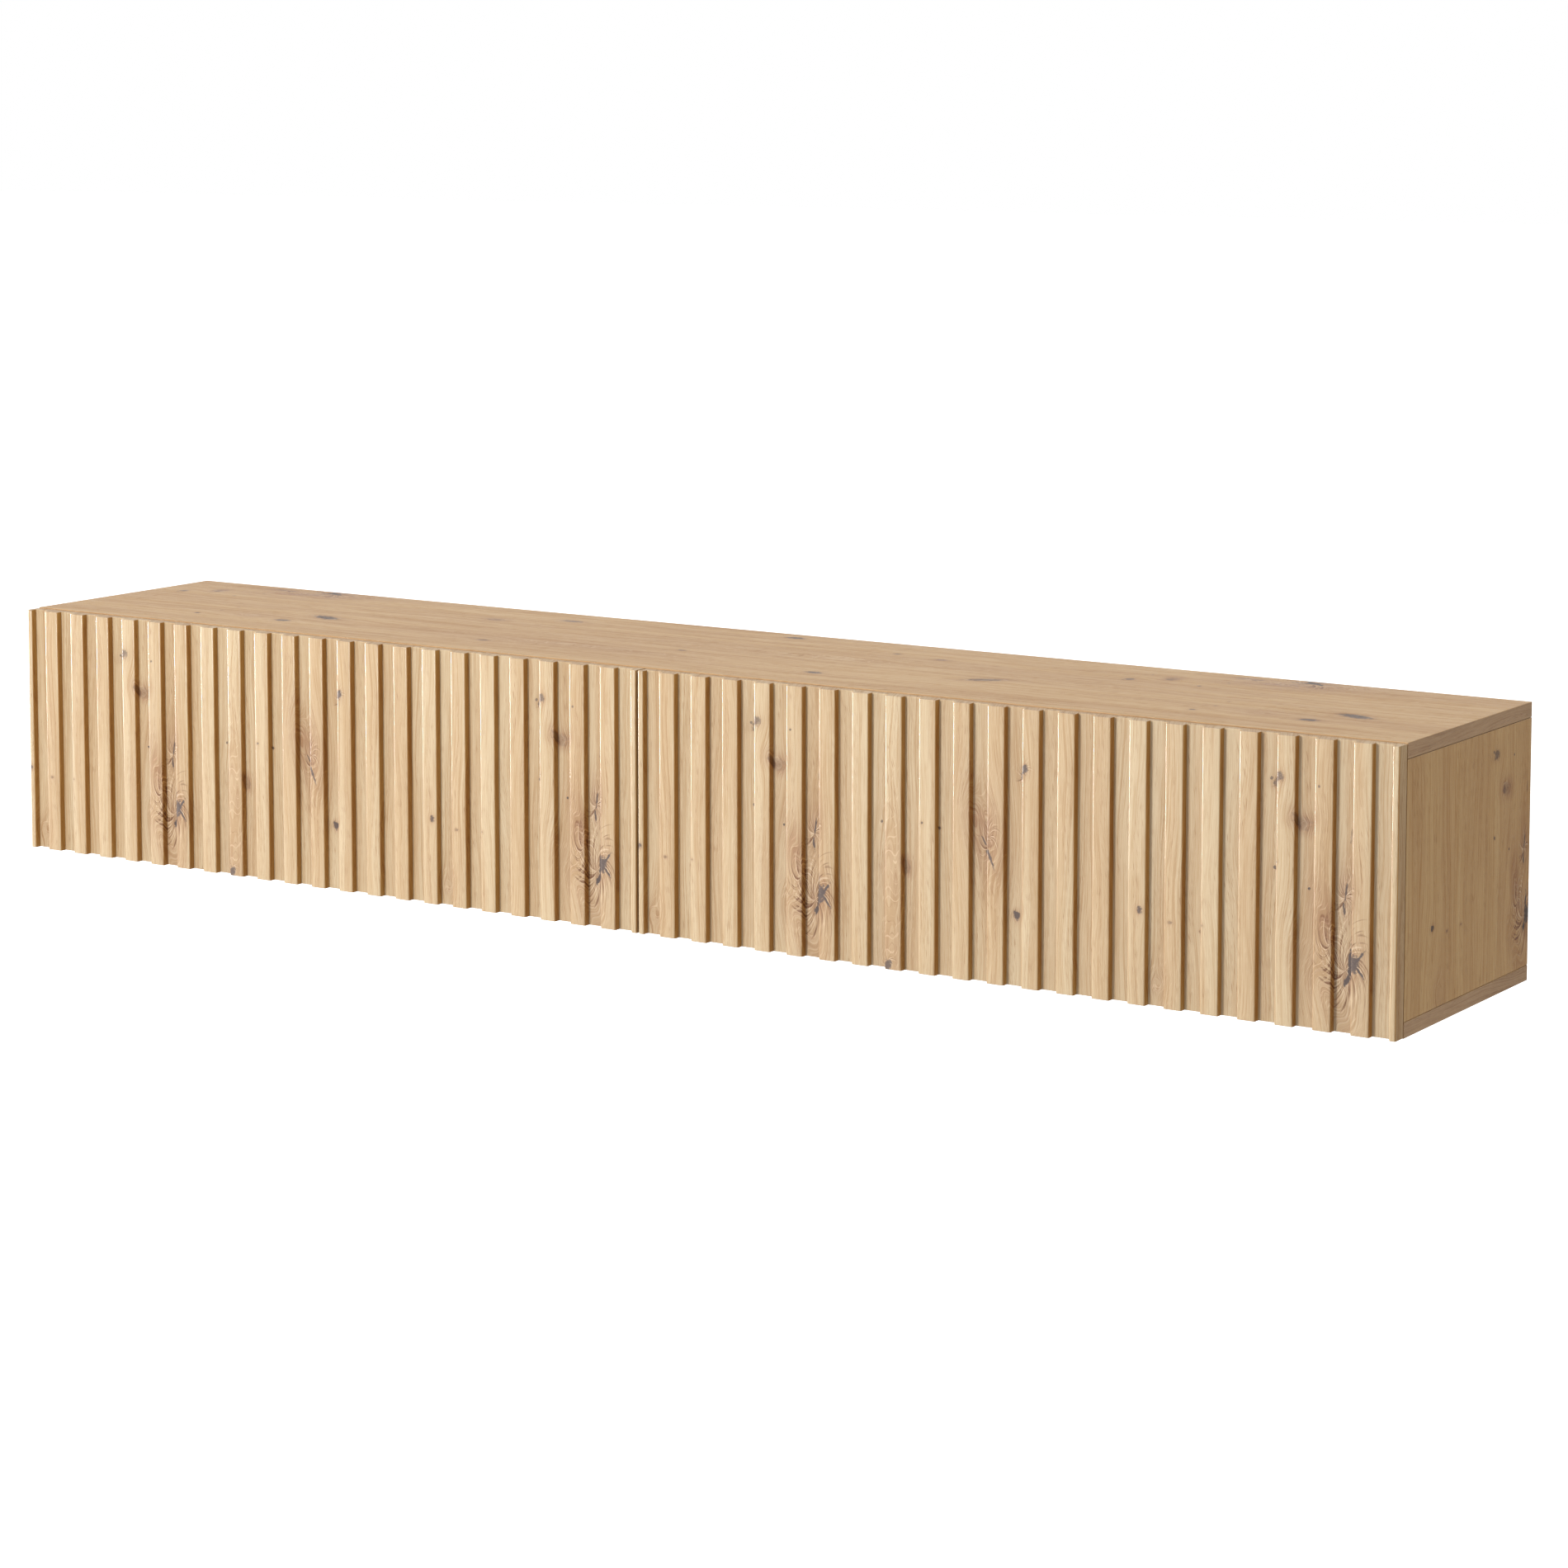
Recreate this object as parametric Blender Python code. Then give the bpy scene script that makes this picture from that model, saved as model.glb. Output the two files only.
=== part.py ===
"""Wall-hung media cabinet with two ribbed drop-down flaps, in metres.

The row's origin is the middle of the wall side: X runs along the cabinet, -Y is the front, +Z is up.
"""

import math

import bmesh
import bpy
from mathutils import Matrix, Vector

# Overall sizes, over the closed flaps
WIDTH = 1.800
HEIGHT = 0.292
DEPTH = 0.325

# Boards
BOARD = 0.016
BACK_THICKNESS = 0.003
BACK_INSET = 0.012
BACK_GROOVE = 0.005
CABLE_HOLE_RADIUS = 0.030
CABLE_HOLE_ABOVE_FLOOR = 0.065

# Flaps
FLAP_THICKNESS = 0.018
FLAP_GAP = 0.002
FLAP_REVEAL = 0.001
SEAM = 0.003
GROOVES = 22
GROOVE_DEPTH = 0.008
RIB_WIDTH = 0.020
END_RIB = 0.007
RIB_CHAMFER = 0.0012

# Flap hinges
HINGE_RIB = 3
AXIS_SETBACK = 0.0095
SWING_CLEARANCE = 0.0005
PIN_RADIUS = 0.002
KNUCKLE_RADIUS = 0.0032
NOSE_WIDTH = 0.007
NOSE_CLEARANCE = 0.0006
NECK_THICKNESS = 0.0045
ARM_THICKNESS = 0.0025
ARM_WIDTH = 0.016
ARM_HEIGHT = 0.0045
ARM_REACH = 0.054
PLATE_THICKNESS = 0.0027
PLATE_LENGTH = 0.034
PLATE_WING = 0.046
PLATE_WING_DEPTH = 0.013
CUP_WIDTH = 0.014
CUP_WALL = 0.0009
FLANGE_THICKNESS = 0.0015
FLANGE_WIDTH = 0.030
FLANGE_HEIGHT = 0.026

# Flap stays
STAY_RADIUS = 0.130
STAY_STANDOFF = 0.014
STAY_ANGLE = math.radians(60)
STAY_ROD_RADIUS = 0.003
STAY_ROD_FROM_SIDE = 0.0155
STAY_PLATE = (0.034, 0.046)
STAY_PLATE_THICKNESS = 0.0025
STAY_STUB_RADIUS = 0.004
STAY_STUB_LENGTH = 0.0068
BLOCK_LENGTH = 0.024
BLOCK_HEIGHT = 0.019
BLOCK_WIDTH = 0.017
COLLAR_RADIUS = 0.0048
COLLAR_THICKNESS = 0.003
EYE_RADIUS = 0.0065
EYE_PIN_RADIUS = 0.0025
LUG_THICKNESS = 0.003
BRACKET_THICKNESS = 0.002
BRACKET_WIDTH = 0.024
BRACKET_HEIGHT = 0.036

# Push latches
LATCH_WIDTH = 0.020
LATCH_HEIGHT = 0.014
LATCH_LENGTH = 0.068
LATCH_SETBACK = 0.0015
PLUNGER_RADIUS = 0.0042
PLUNGER_LENGTH = 0.058
STRIKE_THICKNESS = 0.0012
STRIKE_SIZE = 0.014

# Wall hangers
HANGER_WIDTH = 0.024
HANGER_HEIGHT = 0.048
HANGER_LENGTH = 0.044
HANGER_DROP = 0.005
HANGER_BACK_GAP = 0.003
HANGER_CAVITY = 0.026
HOOK_THICKNESS = 0.004
HOOK_HEIGHT = 0.024
HOOK_LIP = 0.003
HOOK_LIP_DROP = 0.016
HOOK_ARM_HEIGHT = 0.010
HOOK_TRAVEL = 0.006
HANGER_SCREW_RADIUS = 0.0038
HANGER_SCREW_LENGTH = 0.016
NOTCH_WIDTH = 0.060
NOTCH_HEIGHT = 0.072
WALL_PLATE_WIDTH = 0.046
WALL_PLATE_HEIGHT = 0.052
WALL_PLATE_THICKNESS = 0.002
WALL_PLATE_STANDOFF = 0.0085
WALL_PLATE_LIP = 0.022

# Cam connectors
CAM_RADIUS = 0.0075
CAM_DEPTH = 0.0125
CAM_FROM_EDGE = 0.024
CAM_FROM_FRONT = 0.050
CAM_FROM_BACK = 0.060
BOLT_RADIUS = 0.003
BOLT_INTO_BOARD = 0.010

# Gap between neighbours, and how round a turned piece is
FIT = 0.0003
ROUND = 24
SMALL_ROUND = 16
# How far a cutter reaches past the face that it enters by
PAST = 0.002

# Levels and planes that follow from the sizes
TOP = HEIGHT / 2
FLOOR = -TOP + BOARD
CEILING = TOP - BOARD
FRONT = -DEPTH + FLAP_THICKNESS + FLAP_GAP
FLAP_INNER = -DEPTH + FLAP_THICKNESS
FLAP_BOTTOM = -TOP + FLAP_REVEAL
FLAP_TOP = TOP - FLAP_REVEAL
FLAP_WIDTH = (WIDTH - SEAM) / 2
SIDE_INNER = WIDTH / 2 - BOARD
BACK_FACE = -BACK_INSET
BACK_FRONT = BACK_FACE - BACK_THICKNESS
GROOVE_WIDTH = (FLAP_WIDTH - 2 * END_RIB - (GROOVES - 1) * RIB_WIDTH) / GROOVES

# The hinge axis lies inside the flap, as high as the flap's lower inner corner can swing past the carcass
AXIS_Y = FLAP_INNER - AXIS_SETBACK
CORNER_SWING = AXIS_SETBACK + FLAP_GAP - SWING_CLEARANCE
AXIS_Z = FLAP_BOTTOM + math.sqrt(CORNER_SWING**2 - AXIS_SETBACK**2)

ARM_UNDERSIDE = FLOOR + FIT + PLATE_THICKNESS + FIT
ARM_TOP = ARM_UNDERSIDE + ARM_THICKNESS
# The arm's front corner sweeps this circle round the axis as seen from the flap
NOSE_SWEEP = math.hypot(KNUCKLE_RADIUS, ARM_TOP - AXIS_Z)
CUP_POCKET_TOP = AXIS_Z + NOSE_SWEEP + NOSE_CLEARANCE
CUP_POCKET_BOTTOM = AXIS_Z - KNUCKLE_RADIUS - FIT
CUP_POCKET_END = AXIS_Y - KNUCKLE_RADIUS - FIT
CUP_TOP = CUP_POCKET_TOP + CUP_WALL
CUP_END = CUP_POCKET_END - CUP_WALL

# The stay's two pivots lie on one circle round the hinge axis, so the rod turns by half the flap's angle
STAY_PIN_Y = FLAP_INNER + STAY_STANDOFF
STAY_PIN_ANGLE = math.acos((STAY_PIN_Y - AXIS_Y) / STAY_RADIUS)
STAY_PIN_Z = AXIS_Z + STAY_RADIUS * math.sin(STAY_PIN_ANGLE)
STAY_BLOCK_Y = AXIS_Y + STAY_RADIUS * math.cos(STAY_ANGLE)
STAY_BLOCK_Z = AXIS_Z + STAY_RADIUS * math.sin(STAY_ANGLE)
STAY_OPEN_REACH = 2 * STAY_RADIUS * math.sin((STAY_PIN_ANGLE + math.pi / 2 - STAY_ANGLE) / 2)
STAY_ROD_LENGTH = STAY_OPEN_REACH + BLOCK_LENGTH / 2 + 2 * FIT + COLLAR_THICKNESS
STAY_ROD_X = SIDE_INNER - STAY_ROD_FROM_SIDE

LEFT = -1
RIGHT = 1
SIDE_NAMES = {LEFT: "left", RIGHT: "right"}


def make_material(name, colour, roughness, metallic=0.0):
    """A plain Principled material with the finish of one sort of piece."""
    material = bpy.data.materials.new(name)
    material.use_nodes = True
    shader = material.node_tree.nodes["Principled BSDF"]
    shader.inputs["Base Color"].default_value = (*colour, 1.0)
    shader.inputs["Roughness"].default_value = roughness
    shader.inputs["Metallic"].default_value = metallic
    return material


def add_object(name, mesh_builder, material=None):
    """Turns a bmesh into an object with its faces pointing outwards."""
    bmesh.ops.recalc_face_normals(mesh_builder, faces=mesh_builder.faces)
    mesh = bpy.data.meshes.new(name)
    mesh_builder.to_mesh(mesh)
    mesh_builder.free()
    if material:
        mesh.materials.append(material)
    piece = bpy.data.objects.new(name, mesh)
    bpy.context.scene.collection.objects.link(piece)
    return piece


def box(name, x, y, z, material=None):
    """A rectangular block from three (low, high) pairs."""
    mesh_builder = bmesh.new()
    bmesh.ops.create_cube(mesh_builder, size=1.0)
    lows_and_highs = [sorted(pair) for pair in (x, y, z)]
    size = [high - low for low, high in lows_and_highs]
    middle = [(high + low) / 2 for low, high in lows_and_highs]
    place = Matrix.Translation(middle) @ Matrix.Diagonal((*size, 1.0))
    bmesh.ops.transform(mesh_builder, matrix=place, verts=mesh_builder.verts)
    return add_object(name, mesh_builder, material)


def prism(name, outline, ends, axis, material=None):
    """An outline extruded along X, with (y, z) points, or along Z, with (x, y) points."""
    low, high = sorted(ends)
    mesh_builder = bmesh.new()
    if axis == "X":
        corners = [mesh_builder.verts.new((low, first, second)) for first, second in outline]
        step = Vector((high - low, 0, 0))
    else:
        corners = [mesh_builder.verts.new((first, second, low)) for first, second in outline]
        step = Vector((0, 0, high - low))
    base = mesh_builder.faces.new(corners)
    grown = bmesh.ops.extrude_face_region(mesh_builder, geom=[base])
    moved = [item for item in grown["geom"] if isinstance(item, bmesh.types.BMVert)]
    bmesh.ops.translate(mesh_builder, vec=step, verts=moved)
    return add_object(name, mesh_builder, material)


def cylinder(name, start, end, radius, sides, material=None):
    """A round bar between two points."""
    start, end = Vector(start), Vector(end)
    along = end - start
    turn = along.to_track_quat("Z", "Y").to_matrix().to_4x4()
    mesh_builder = bmesh.new()
    bmesh.ops.create_cone(
        mesh_builder, cap_ends=True, segments=sides, radius1=radius, radius2=radius, depth=along.length
    )
    place = Matrix.Translation((start + end) / 2) @ turn
    bmesh.ops.transform(mesh_builder, matrix=place, verts=mesh_builder.verts)
    piece = add_object(name, mesh_builder, material)
    piece.data.shade_smooth()
    piece.data.set_sharp_from_angle(angle=math.radians(40))
    return piece


def combine(piece, operation, helpers):
    """Cuts the helpers from a piece, or joins them to it, and hides them."""
    for helper in helpers:
        modifier = piece.modifiers.new(helper.name, "BOOLEAN")
        modifier.operation = operation
        modifier.object = helper
        modifier.solver = "EXACT"
        helper.hide_render = True
        helper.display_type = "WIRE"


def cut(piece, *helpers):
    combine(piece, "DIFFERENCE", helpers)


def join(piece, *helpers):
    combine(piece, "UNION", helpers)


def add_axis(name, point):
    """An empty on a joint's axis, for the pieces that move about it."""
    axis = bpy.data.objects.new(name, None)
    axis.location = point
    bpy.context.scene.collection.objects.link(axis)
    return axis


def attach(axis, *pieces):
    """Parents pieces, with their cutters, to the empty on the axis that they move about."""
    for piece in pieces:
        helpers = [modifier.object for modifier in piece.modifiers if modifier.type == "BOOLEAN"]
        for member in (piece, *helpers):
            member.parent = axis
            member.matrix_parent_inverse = Matrix.Translation(-axis.location)


def make_boards(oak):
    """The top and bottom run over the two sides and the centre divider."""
    ends = (-WIDTH / 2, WIDTH / 2)
    upright_height = (FLOOR + FIT, CEILING - FIT)
    return {
        "bottom_panel": box("bottom_panel", ends, (FRONT, 0), (-TOP, FLOOR), oak),
        "top_panel": box("top_panel", ends, (FRONT, 0), (CEILING, TOP), oak),
        "left_side_panel": box("left_side_panel", (ends[0], -SIDE_INNER), (FRONT, 0), upright_height, oak),
        "right_side_panel": box("right_side_panel", (SIDE_INNER, ends[1]), (FRONT, 0), upright_height, oak),
        "centre_divider": box("centre_divider", (-BOARD / 2, BOARD / 2), (FRONT, 0), upright_height, oak),
    }


def make_back_panel(side, boards, fibreboard):
    """A thin panel in grooves on all four sides, with a cable hole and a notch for the wall hook."""
    name = SIDE_NAMES[side]
    inner = BOARD / 2 - BACK_GROOVE
    outer = SIDE_INNER + BACK_GROOVE
    low = FLOOR - BACK_GROOVE
    high = CEILING + BACK_GROOVE
    slot = (BACK_FACE + FIT, BACK_FRONT - FIT)
    for board in ("bottom_panel", "top_panel", f"{name}_side_panel", "centre_divider"):
        groove = box(f"{board}_{name}_groove", (side * inner, side * outer), slot, (low, high))
        cut(boards[board], groove)
    panel = box(
        f"{name}_back_panel",
        (side * (inner + FIT), side * (outer - FIT)),
        (BACK_FACE, BACK_FRONT),
        (low + FIT, high - FIT),
        fibreboard,
    )
    middle = side * (BOARD / 2 + SIDE_INNER) / 2
    hole_z = FLOOR + CABLE_HOLE_ABOVE_FLOOR
    through = (BACK_FACE + PAST, BACK_FRONT - PAST)
    hole_start = (middle, through[0], hole_z)
    hole_end = (middle, through[1], hole_z)
    hole = cylinder(f"{name}_cable_hole", hole_start, hole_end, CABLE_HOLE_RADIUS, ROUND)
    notch = box(
        f"{name}_hook_notch",
        (side * (SIDE_INNER - NOTCH_WIDTH), side * (outer + PAST)),
        through,
        (CEILING - NOTCH_HEIGHT, high + PAST),
    )
    cut(panel, hole, notch)


def flap_outline(side):
    """The ribbed plan of a flap, as (x, y) points: flat behind, ribs with eased edges in front."""
    start = -WIDTH / 2 if side == LEFT else SEAM / 2
    floor_y = -DEPTH + GROOVE_DEPTH
    points = [(start + FLAP_WIDTH, FLAP_INNER), (start, FLAP_INNER), (start, -DEPTH + RIB_CHAMFER)]
    x = start
    points.append((x + RIB_CHAMFER, -DEPTH))
    for index in range(GROOVES):
        x += END_RIB if index == 0 else RIB_WIDTH
        points += [(x - RIB_CHAMFER, -DEPTH), (x, -DEPTH + RIB_CHAMFER), (x, floor_y)]
        x += GROOVE_WIDTH
        points += [(x, floor_y), (x, -DEPTH + RIB_CHAMFER), (x + RIB_CHAMFER, -DEPTH)]
    x += END_RIB
    points += [(x - RIB_CHAMFER, -DEPTH), (x, -DEPTH + RIB_CHAMFER)]
    return points


def rib_centre(side, number):
    """The X of a full rib's centre, counted from the flap's outer end."""
    from_end = END_RIB + number * GROOVE_WIDTH + (number - 0.5) * RIB_WIDTH
    return side * (WIDTH / 2 - from_end)


def make_flap(side, oak):
    return prism(f"{SIDE_NAMES[side]}_flap", flap_outline(side), (FLAP_BOTTOM, FLAP_TOP), "Z", oak)


def make_hinge(label, x, flap, zinc, steel):
    """A cranked flap hinge: its cup sits behind a rib and its arm reaches over the bottom panel's edge."""
    half_nose = NOSE_WIDTH / 2

    cup = box(
        f"{label}_cup",
        (x - CUP_WIDTH / 2, x + CUP_WIDTH / 2),
        (FLAP_INNER, CUP_END),
        (FLAP_BOTTOM + FIT, CUP_TOP),
        zinc,
    )
    flange = box(
        f"{label}_flange",
        (x - FLANGE_WIDTH / 2, x + FLANGE_WIDTH / 2),
        (FLAP_INNER + FIT, FLAP_INNER + FIT + FLANGE_THICKNESS),
        (ARM_TOP, CUP_TOP + FLANGE_HEIGHT),
    )
    bridge = box(
        f"{label}_bridge",
        (x - CUP_WIDTH / 2, x + CUP_WIDTH / 2),
        (FLAP_INNER - CUP_WALL, FLAP_INNER + 2 * FIT),
        (ARM_TOP, CUP_TOP),
    )
    pocket = box(
        f"{label}_pocket",
        (x - half_nose - NOSE_CLEARANCE, x + half_nose + NOSE_CLEARANCE),
        (CUP_POCKET_END, FLAP_INNER + FLANGE_THICKNESS + PAST),
        (CUP_POCKET_BOTTOM, CUP_POCKET_TOP),
    )
    axis_at = [(x + offset, AXIS_Y, AXIS_Z) for offset in (-CUP_WIDTH, CUP_WIDTH)]
    cup_bore = cylinder(f"{label}_cup_bore", *axis_at, PIN_RADIUS + FIT, SMALL_ROUND)
    join(cup, bridge, flange)
    cut(cup, pocket, cup_bore)

    mortise = box(
        f"{label}_mortise",
        (x - CUP_WIDTH / 2 - FIT, x + CUP_WIDTH / 2 + FIT),
        (FLAP_INNER + PAST, CUP_END - FIT),
        (FLAP_BOTTOM - PAST, CUP_TOP + FIT),
    )
    cut(flap, mortise)

    pin_reach = CUP_WIDTH / 2 - FIT
    pin = cylinder(
        f"{label}_pin",
        (x - pin_reach, AXIS_Y, AXIS_Z),
        (x + pin_reach, AXIS_Y, AXIS_Z),
        PIN_RADIUS,
        SMALL_ROUND,
        steel,
    )

    neck = [
        (AXIS_Y - KNUCKLE_RADIUS, AXIS_Z),
        (AXIS_Y - KNUCKLE_RADIUS + NECK_THICKNESS, AXIS_Z),
        (AXIS_Y - KNUCKLE_RADIUS + NECK_THICKNESS, ARM_UNDERSIDE),
        (FRONT + ARM_REACH / 4, ARM_UNDERSIDE),
        (FRONT + ARM_REACH / 4, ARM_TOP),
        (AXIS_Y - KNUCKLE_RADIUS, ARM_TOP),
    ]
    arm = prism(f"{label}_arm", neck, (x - half_nose, x + half_nose), "X", steel)
    knuckle = cylinder(
        f"{label}_knuckle",
        (x - half_nose, AXIS_Y, AXIS_Z),
        (x + half_nose, AXIS_Y, AXIS_Z),
        KNUCKLE_RADIUS,
        SMALL_ROUND,
    )
    shell = box(
        f"{label}_shell",
        (x - ARM_WIDTH / 2, x + ARM_WIDTH / 2),
        (FRONT + ARM_REACH / 5, FRONT + ARM_REACH),
        (ARM_UNDERSIDE, ARM_UNDERSIDE + ARM_HEIGHT),
    )
    arm_bore = cylinder(f"{label}_arm_bore", *axis_at, PIN_RADIUS + FIT, SMALL_ROUND)
    join(arm, knuckle, shell)
    cut(arm, arm_bore)

    plate_y = FRONT + ARM_REACH - PLATE_LENGTH / 2
    plate_z = (FLOOR + FIT, FLOOR + FIT + PLATE_THICKNESS)
    plate = box(
        f"{label}_plate",
        (x - ARM_WIDTH / 2, x + ARM_WIDTH / 2),
        (plate_y - PLATE_LENGTH / 2, plate_y + PLATE_LENGTH / 2),
        plate_z,
        zinc,
    )
    wing = box(
        f"{label}_wing",
        (x - PLATE_WING / 2, x + PLATE_WING / 2),
        (plate_y - PLATE_WING_DEPTH / 2, plate_y + PLATE_WING_DEPTH / 2),
        plate_z,
    )
    join(plate, wing)
    return cup, pin


def make_stay(side, flap_axis, zinc, steel, dark_plastic):
    """A brake stay: a rod pivots on the flap and slides through a block that turns on the side panel."""
    name = SIDE_NAMES[side]
    rod_x = side * STAY_ROD_X
    block_at = Vector((rod_x, STAY_BLOCK_Y, STAY_BLOCK_Z))
    pin_at = Vector((rod_x, STAY_PIN_Y, STAY_PIN_Z))
    along = (block_at - pin_at).normalized()
    across = Vector((0, -along.z, along.y))

    plate_face = SIDE_INNER - FIT - STAY_PLATE_THICKNESS
    base = box(
        f"{name}_stay_base",
        (side * (SIDE_INNER - FIT), side * plate_face),
        (STAY_BLOCK_Y - STAY_PLATE[0] / 2, STAY_BLOCK_Y + STAY_PLATE[0] / 2),
        (STAY_BLOCK_Z - STAY_PLATE[1] / 2, STAY_BLOCK_Z + STAY_PLATE[1] / 2),
        zinc,
    )
    stub = cylinder(
        f"{name}_stay_stub",
        (side * (SIDE_INNER - 2 * FIT), STAY_BLOCK_Y, STAY_BLOCK_Z),
        (side * (plate_face - STAY_STUB_LENGTH), STAY_BLOCK_Y, STAY_BLOCK_Z),
        STAY_STUB_RADIUS,
        ROUND,
    )
    join(base, stub)

    half_length = along * BLOCK_LENGTH / 2
    half_height = across * BLOCK_HEIGHT / 2
    ease = 0.25
    block_outline = []
    for length_sign, height_sign in ((1, 1), (-1, 1), (-1, -1), (1, -1)):
        first = block_at + length_sign * half_length + height_sign * half_height * (1 - ease)
        second = block_at + length_sign * half_length * (1 - ease) + height_sign * half_height
        pair = (first, second) if length_sign == height_sign else (second, first)
        block_outline += [(corner.y, corner.z) for corner in pair]
    block_outer = plate_face - 2 * FIT
    block = prism(
        f"{name}_stay_block",
        block_outline,
        (side * block_outer, side * (block_outer - BLOCK_WIDTH)),
        "X",
        dark_plastic,
    )
    stub_bore = cylinder(
        f"{name}_stay_stub_bore",
        (side * (block_outer + PAST), STAY_BLOCK_Y, STAY_BLOCK_Z),
        (side * (plate_face - STAY_STUB_LENGTH - FIT), STAY_BLOCK_Y, STAY_BLOCK_Z),
        STAY_STUB_RADIUS + FIT,
        ROUND,
    )
    rod_bore = cylinder(
        f"{name}_stay_rod_bore",
        block_at - along * BLOCK_LENGTH,
        block_at + along * BLOCK_LENGTH,
        STAY_ROD_RADIUS + FIT,
        SMALL_ROUND,
    )
    cut(block, stub_bore, rod_bore)
    attach(add_axis(f"{name}_stay_block_axis", block_at), block)

    rod_end = pin_at + along * STAY_ROD_LENGTH
    rod = cylinder(
        f"{name}_stay_rod", pin_at + along * EYE_RADIUS / 2, rod_end, STAY_ROD_RADIUS, SMALL_ROUND, steel
    )
    collar = cylinder(
        f"{name}_stay_collar", rod_end - along * COLLAR_THICKNESS, rod_end, COLLAR_RADIUS, SMALL_ROUND
    )
    across_eye = Vector((STAY_ROD_RADIUS, 0, 0))
    eye = cylinder(f"{name}_stay_eye", pin_at - across_eye, pin_at + across_eye, EYE_RADIUS, ROUND)
    bore_start = pin_at - 2 * across_eye
    bore_end = pin_at + 2 * across_eye
    eye_bore = cylinder(f"{name}_stay_eye_bore", bore_start, bore_end, EYE_PIN_RADIUS + FIT, SMALL_ROUND)
    join(rod, eye, collar)
    cut(rod, eye_bore)
    rod_axis = add_axis(f"{name}_stay_rod_axis", pin_at)
    attach(rod_axis, rod)

    lug_outer = STAY_ROD_X - STAY_ROD_RADIUS - 2 * FIT
    lug_inner = lug_outer - LUG_THICKNESS
    bracket_face = FLAP_INNER + FIT + BRACKET_THICKNESS
    bracket = box(
        f"{name}_stay_bracket",
        (side * (lug_outer + BRACKET_WIDTH / 3), side * (lug_outer - BRACKET_WIDTH * 2 / 3)),
        (FLAP_INNER + FIT, bracket_face),
        (STAY_PIN_Z - BRACKET_HEIGHT / 2, STAY_PIN_Z + BRACKET_HEIGHT / 2),
        zinc,
    )
    lug = box(
        f"{name}_stay_lug",
        (side * lug_outer, side * lug_inner),
        (FLAP_INNER + 2 * FIT, STAY_PIN_Y),
        (STAY_PIN_Z - EYE_RADIUS, STAY_PIN_Z + EYE_RADIUS),
    )
    lug_round = cylinder(
        f"{name}_stay_lug_round",
        (side * lug_outer, STAY_PIN_Y, STAY_PIN_Z),
        (side * lug_inner, STAY_PIN_Y, STAY_PIN_Z),
        EYE_RADIUS,
        ROUND,
    )
    eye_pin = cylinder(
        f"{name}_stay_eye_pin",
        (side * (lug_inner + FIT), STAY_PIN_Y, STAY_PIN_Z),
        (side * (STAY_ROD_X + STAY_ROD_RADIUS + FIT), STAY_PIN_Y, STAY_PIN_Z),
        EYE_PIN_RADIUS,
        SMALL_ROUND,
    )
    join(bracket, lug, lug_round, eye_pin)
    attach(flap_axis, bracket)
    rod_axis.parent = flap_axis
    rod_axis.matrix_parent_inverse = Matrix.Translation(-flap_axis.location)


def make_latch(side, flap_axis, dark_plastic, steel):
    """A push-to-open latch under the top panel, its plunger resting against a strike plate on the flap."""
    name = SIDE_NAMES[side]
    x = side * (SEAM / 2 + FLAP_WIDTH / 2)
    housing_front = FRONT + LATCH_SETBACK
    housing = box(
        f"{name}_latch_housing",
        (x - LATCH_WIDTH / 2, x + LATCH_WIDTH / 2),
        (housing_front, housing_front + LATCH_LENGTH),
        (CEILING - FIT, CEILING - FIT - LATCH_HEIGHT),
        dark_plastic,
    )
    z = CEILING - FIT - LATCH_HEIGHT / 2
    strike_face = FLAP_INNER + FIT + STRIKE_THICKNESS
    plunger_tip = strike_face + FIT
    plunger_end = plunger_tip + PLUNGER_LENGTH
    bore = cylinder(
        f"{name}_latch_bore",
        (x, housing_front - PAST, z),
        (x, plunger_end + FIT, z),
        PLUNGER_RADIUS + FIT,
        SMALL_ROUND,
    )
    cut(housing, bore)
    tip_at = (x, plunger_tip, z)
    end_at = (x, plunger_end, z)
    plunger = cylinder(f"{name}_latch_plunger", tip_at, end_at, PLUNGER_RADIUS, SMALL_ROUND, dark_plastic)
    attach(add_axis(f"{name}_latch_plunger_axis", (x, plunger_tip, z)), plunger)
    strike = box(
        f"{name}_strike_plate",
        (x - STRIKE_SIZE / 2, x + STRIKE_SIZE / 2),
        (FLAP_INNER + FIT, strike_face),
        (z - STRIKE_SIZE / 2, z + STRIKE_SIZE / 2),
        steel,
    )
    attach(flap_axis, strike)


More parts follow.
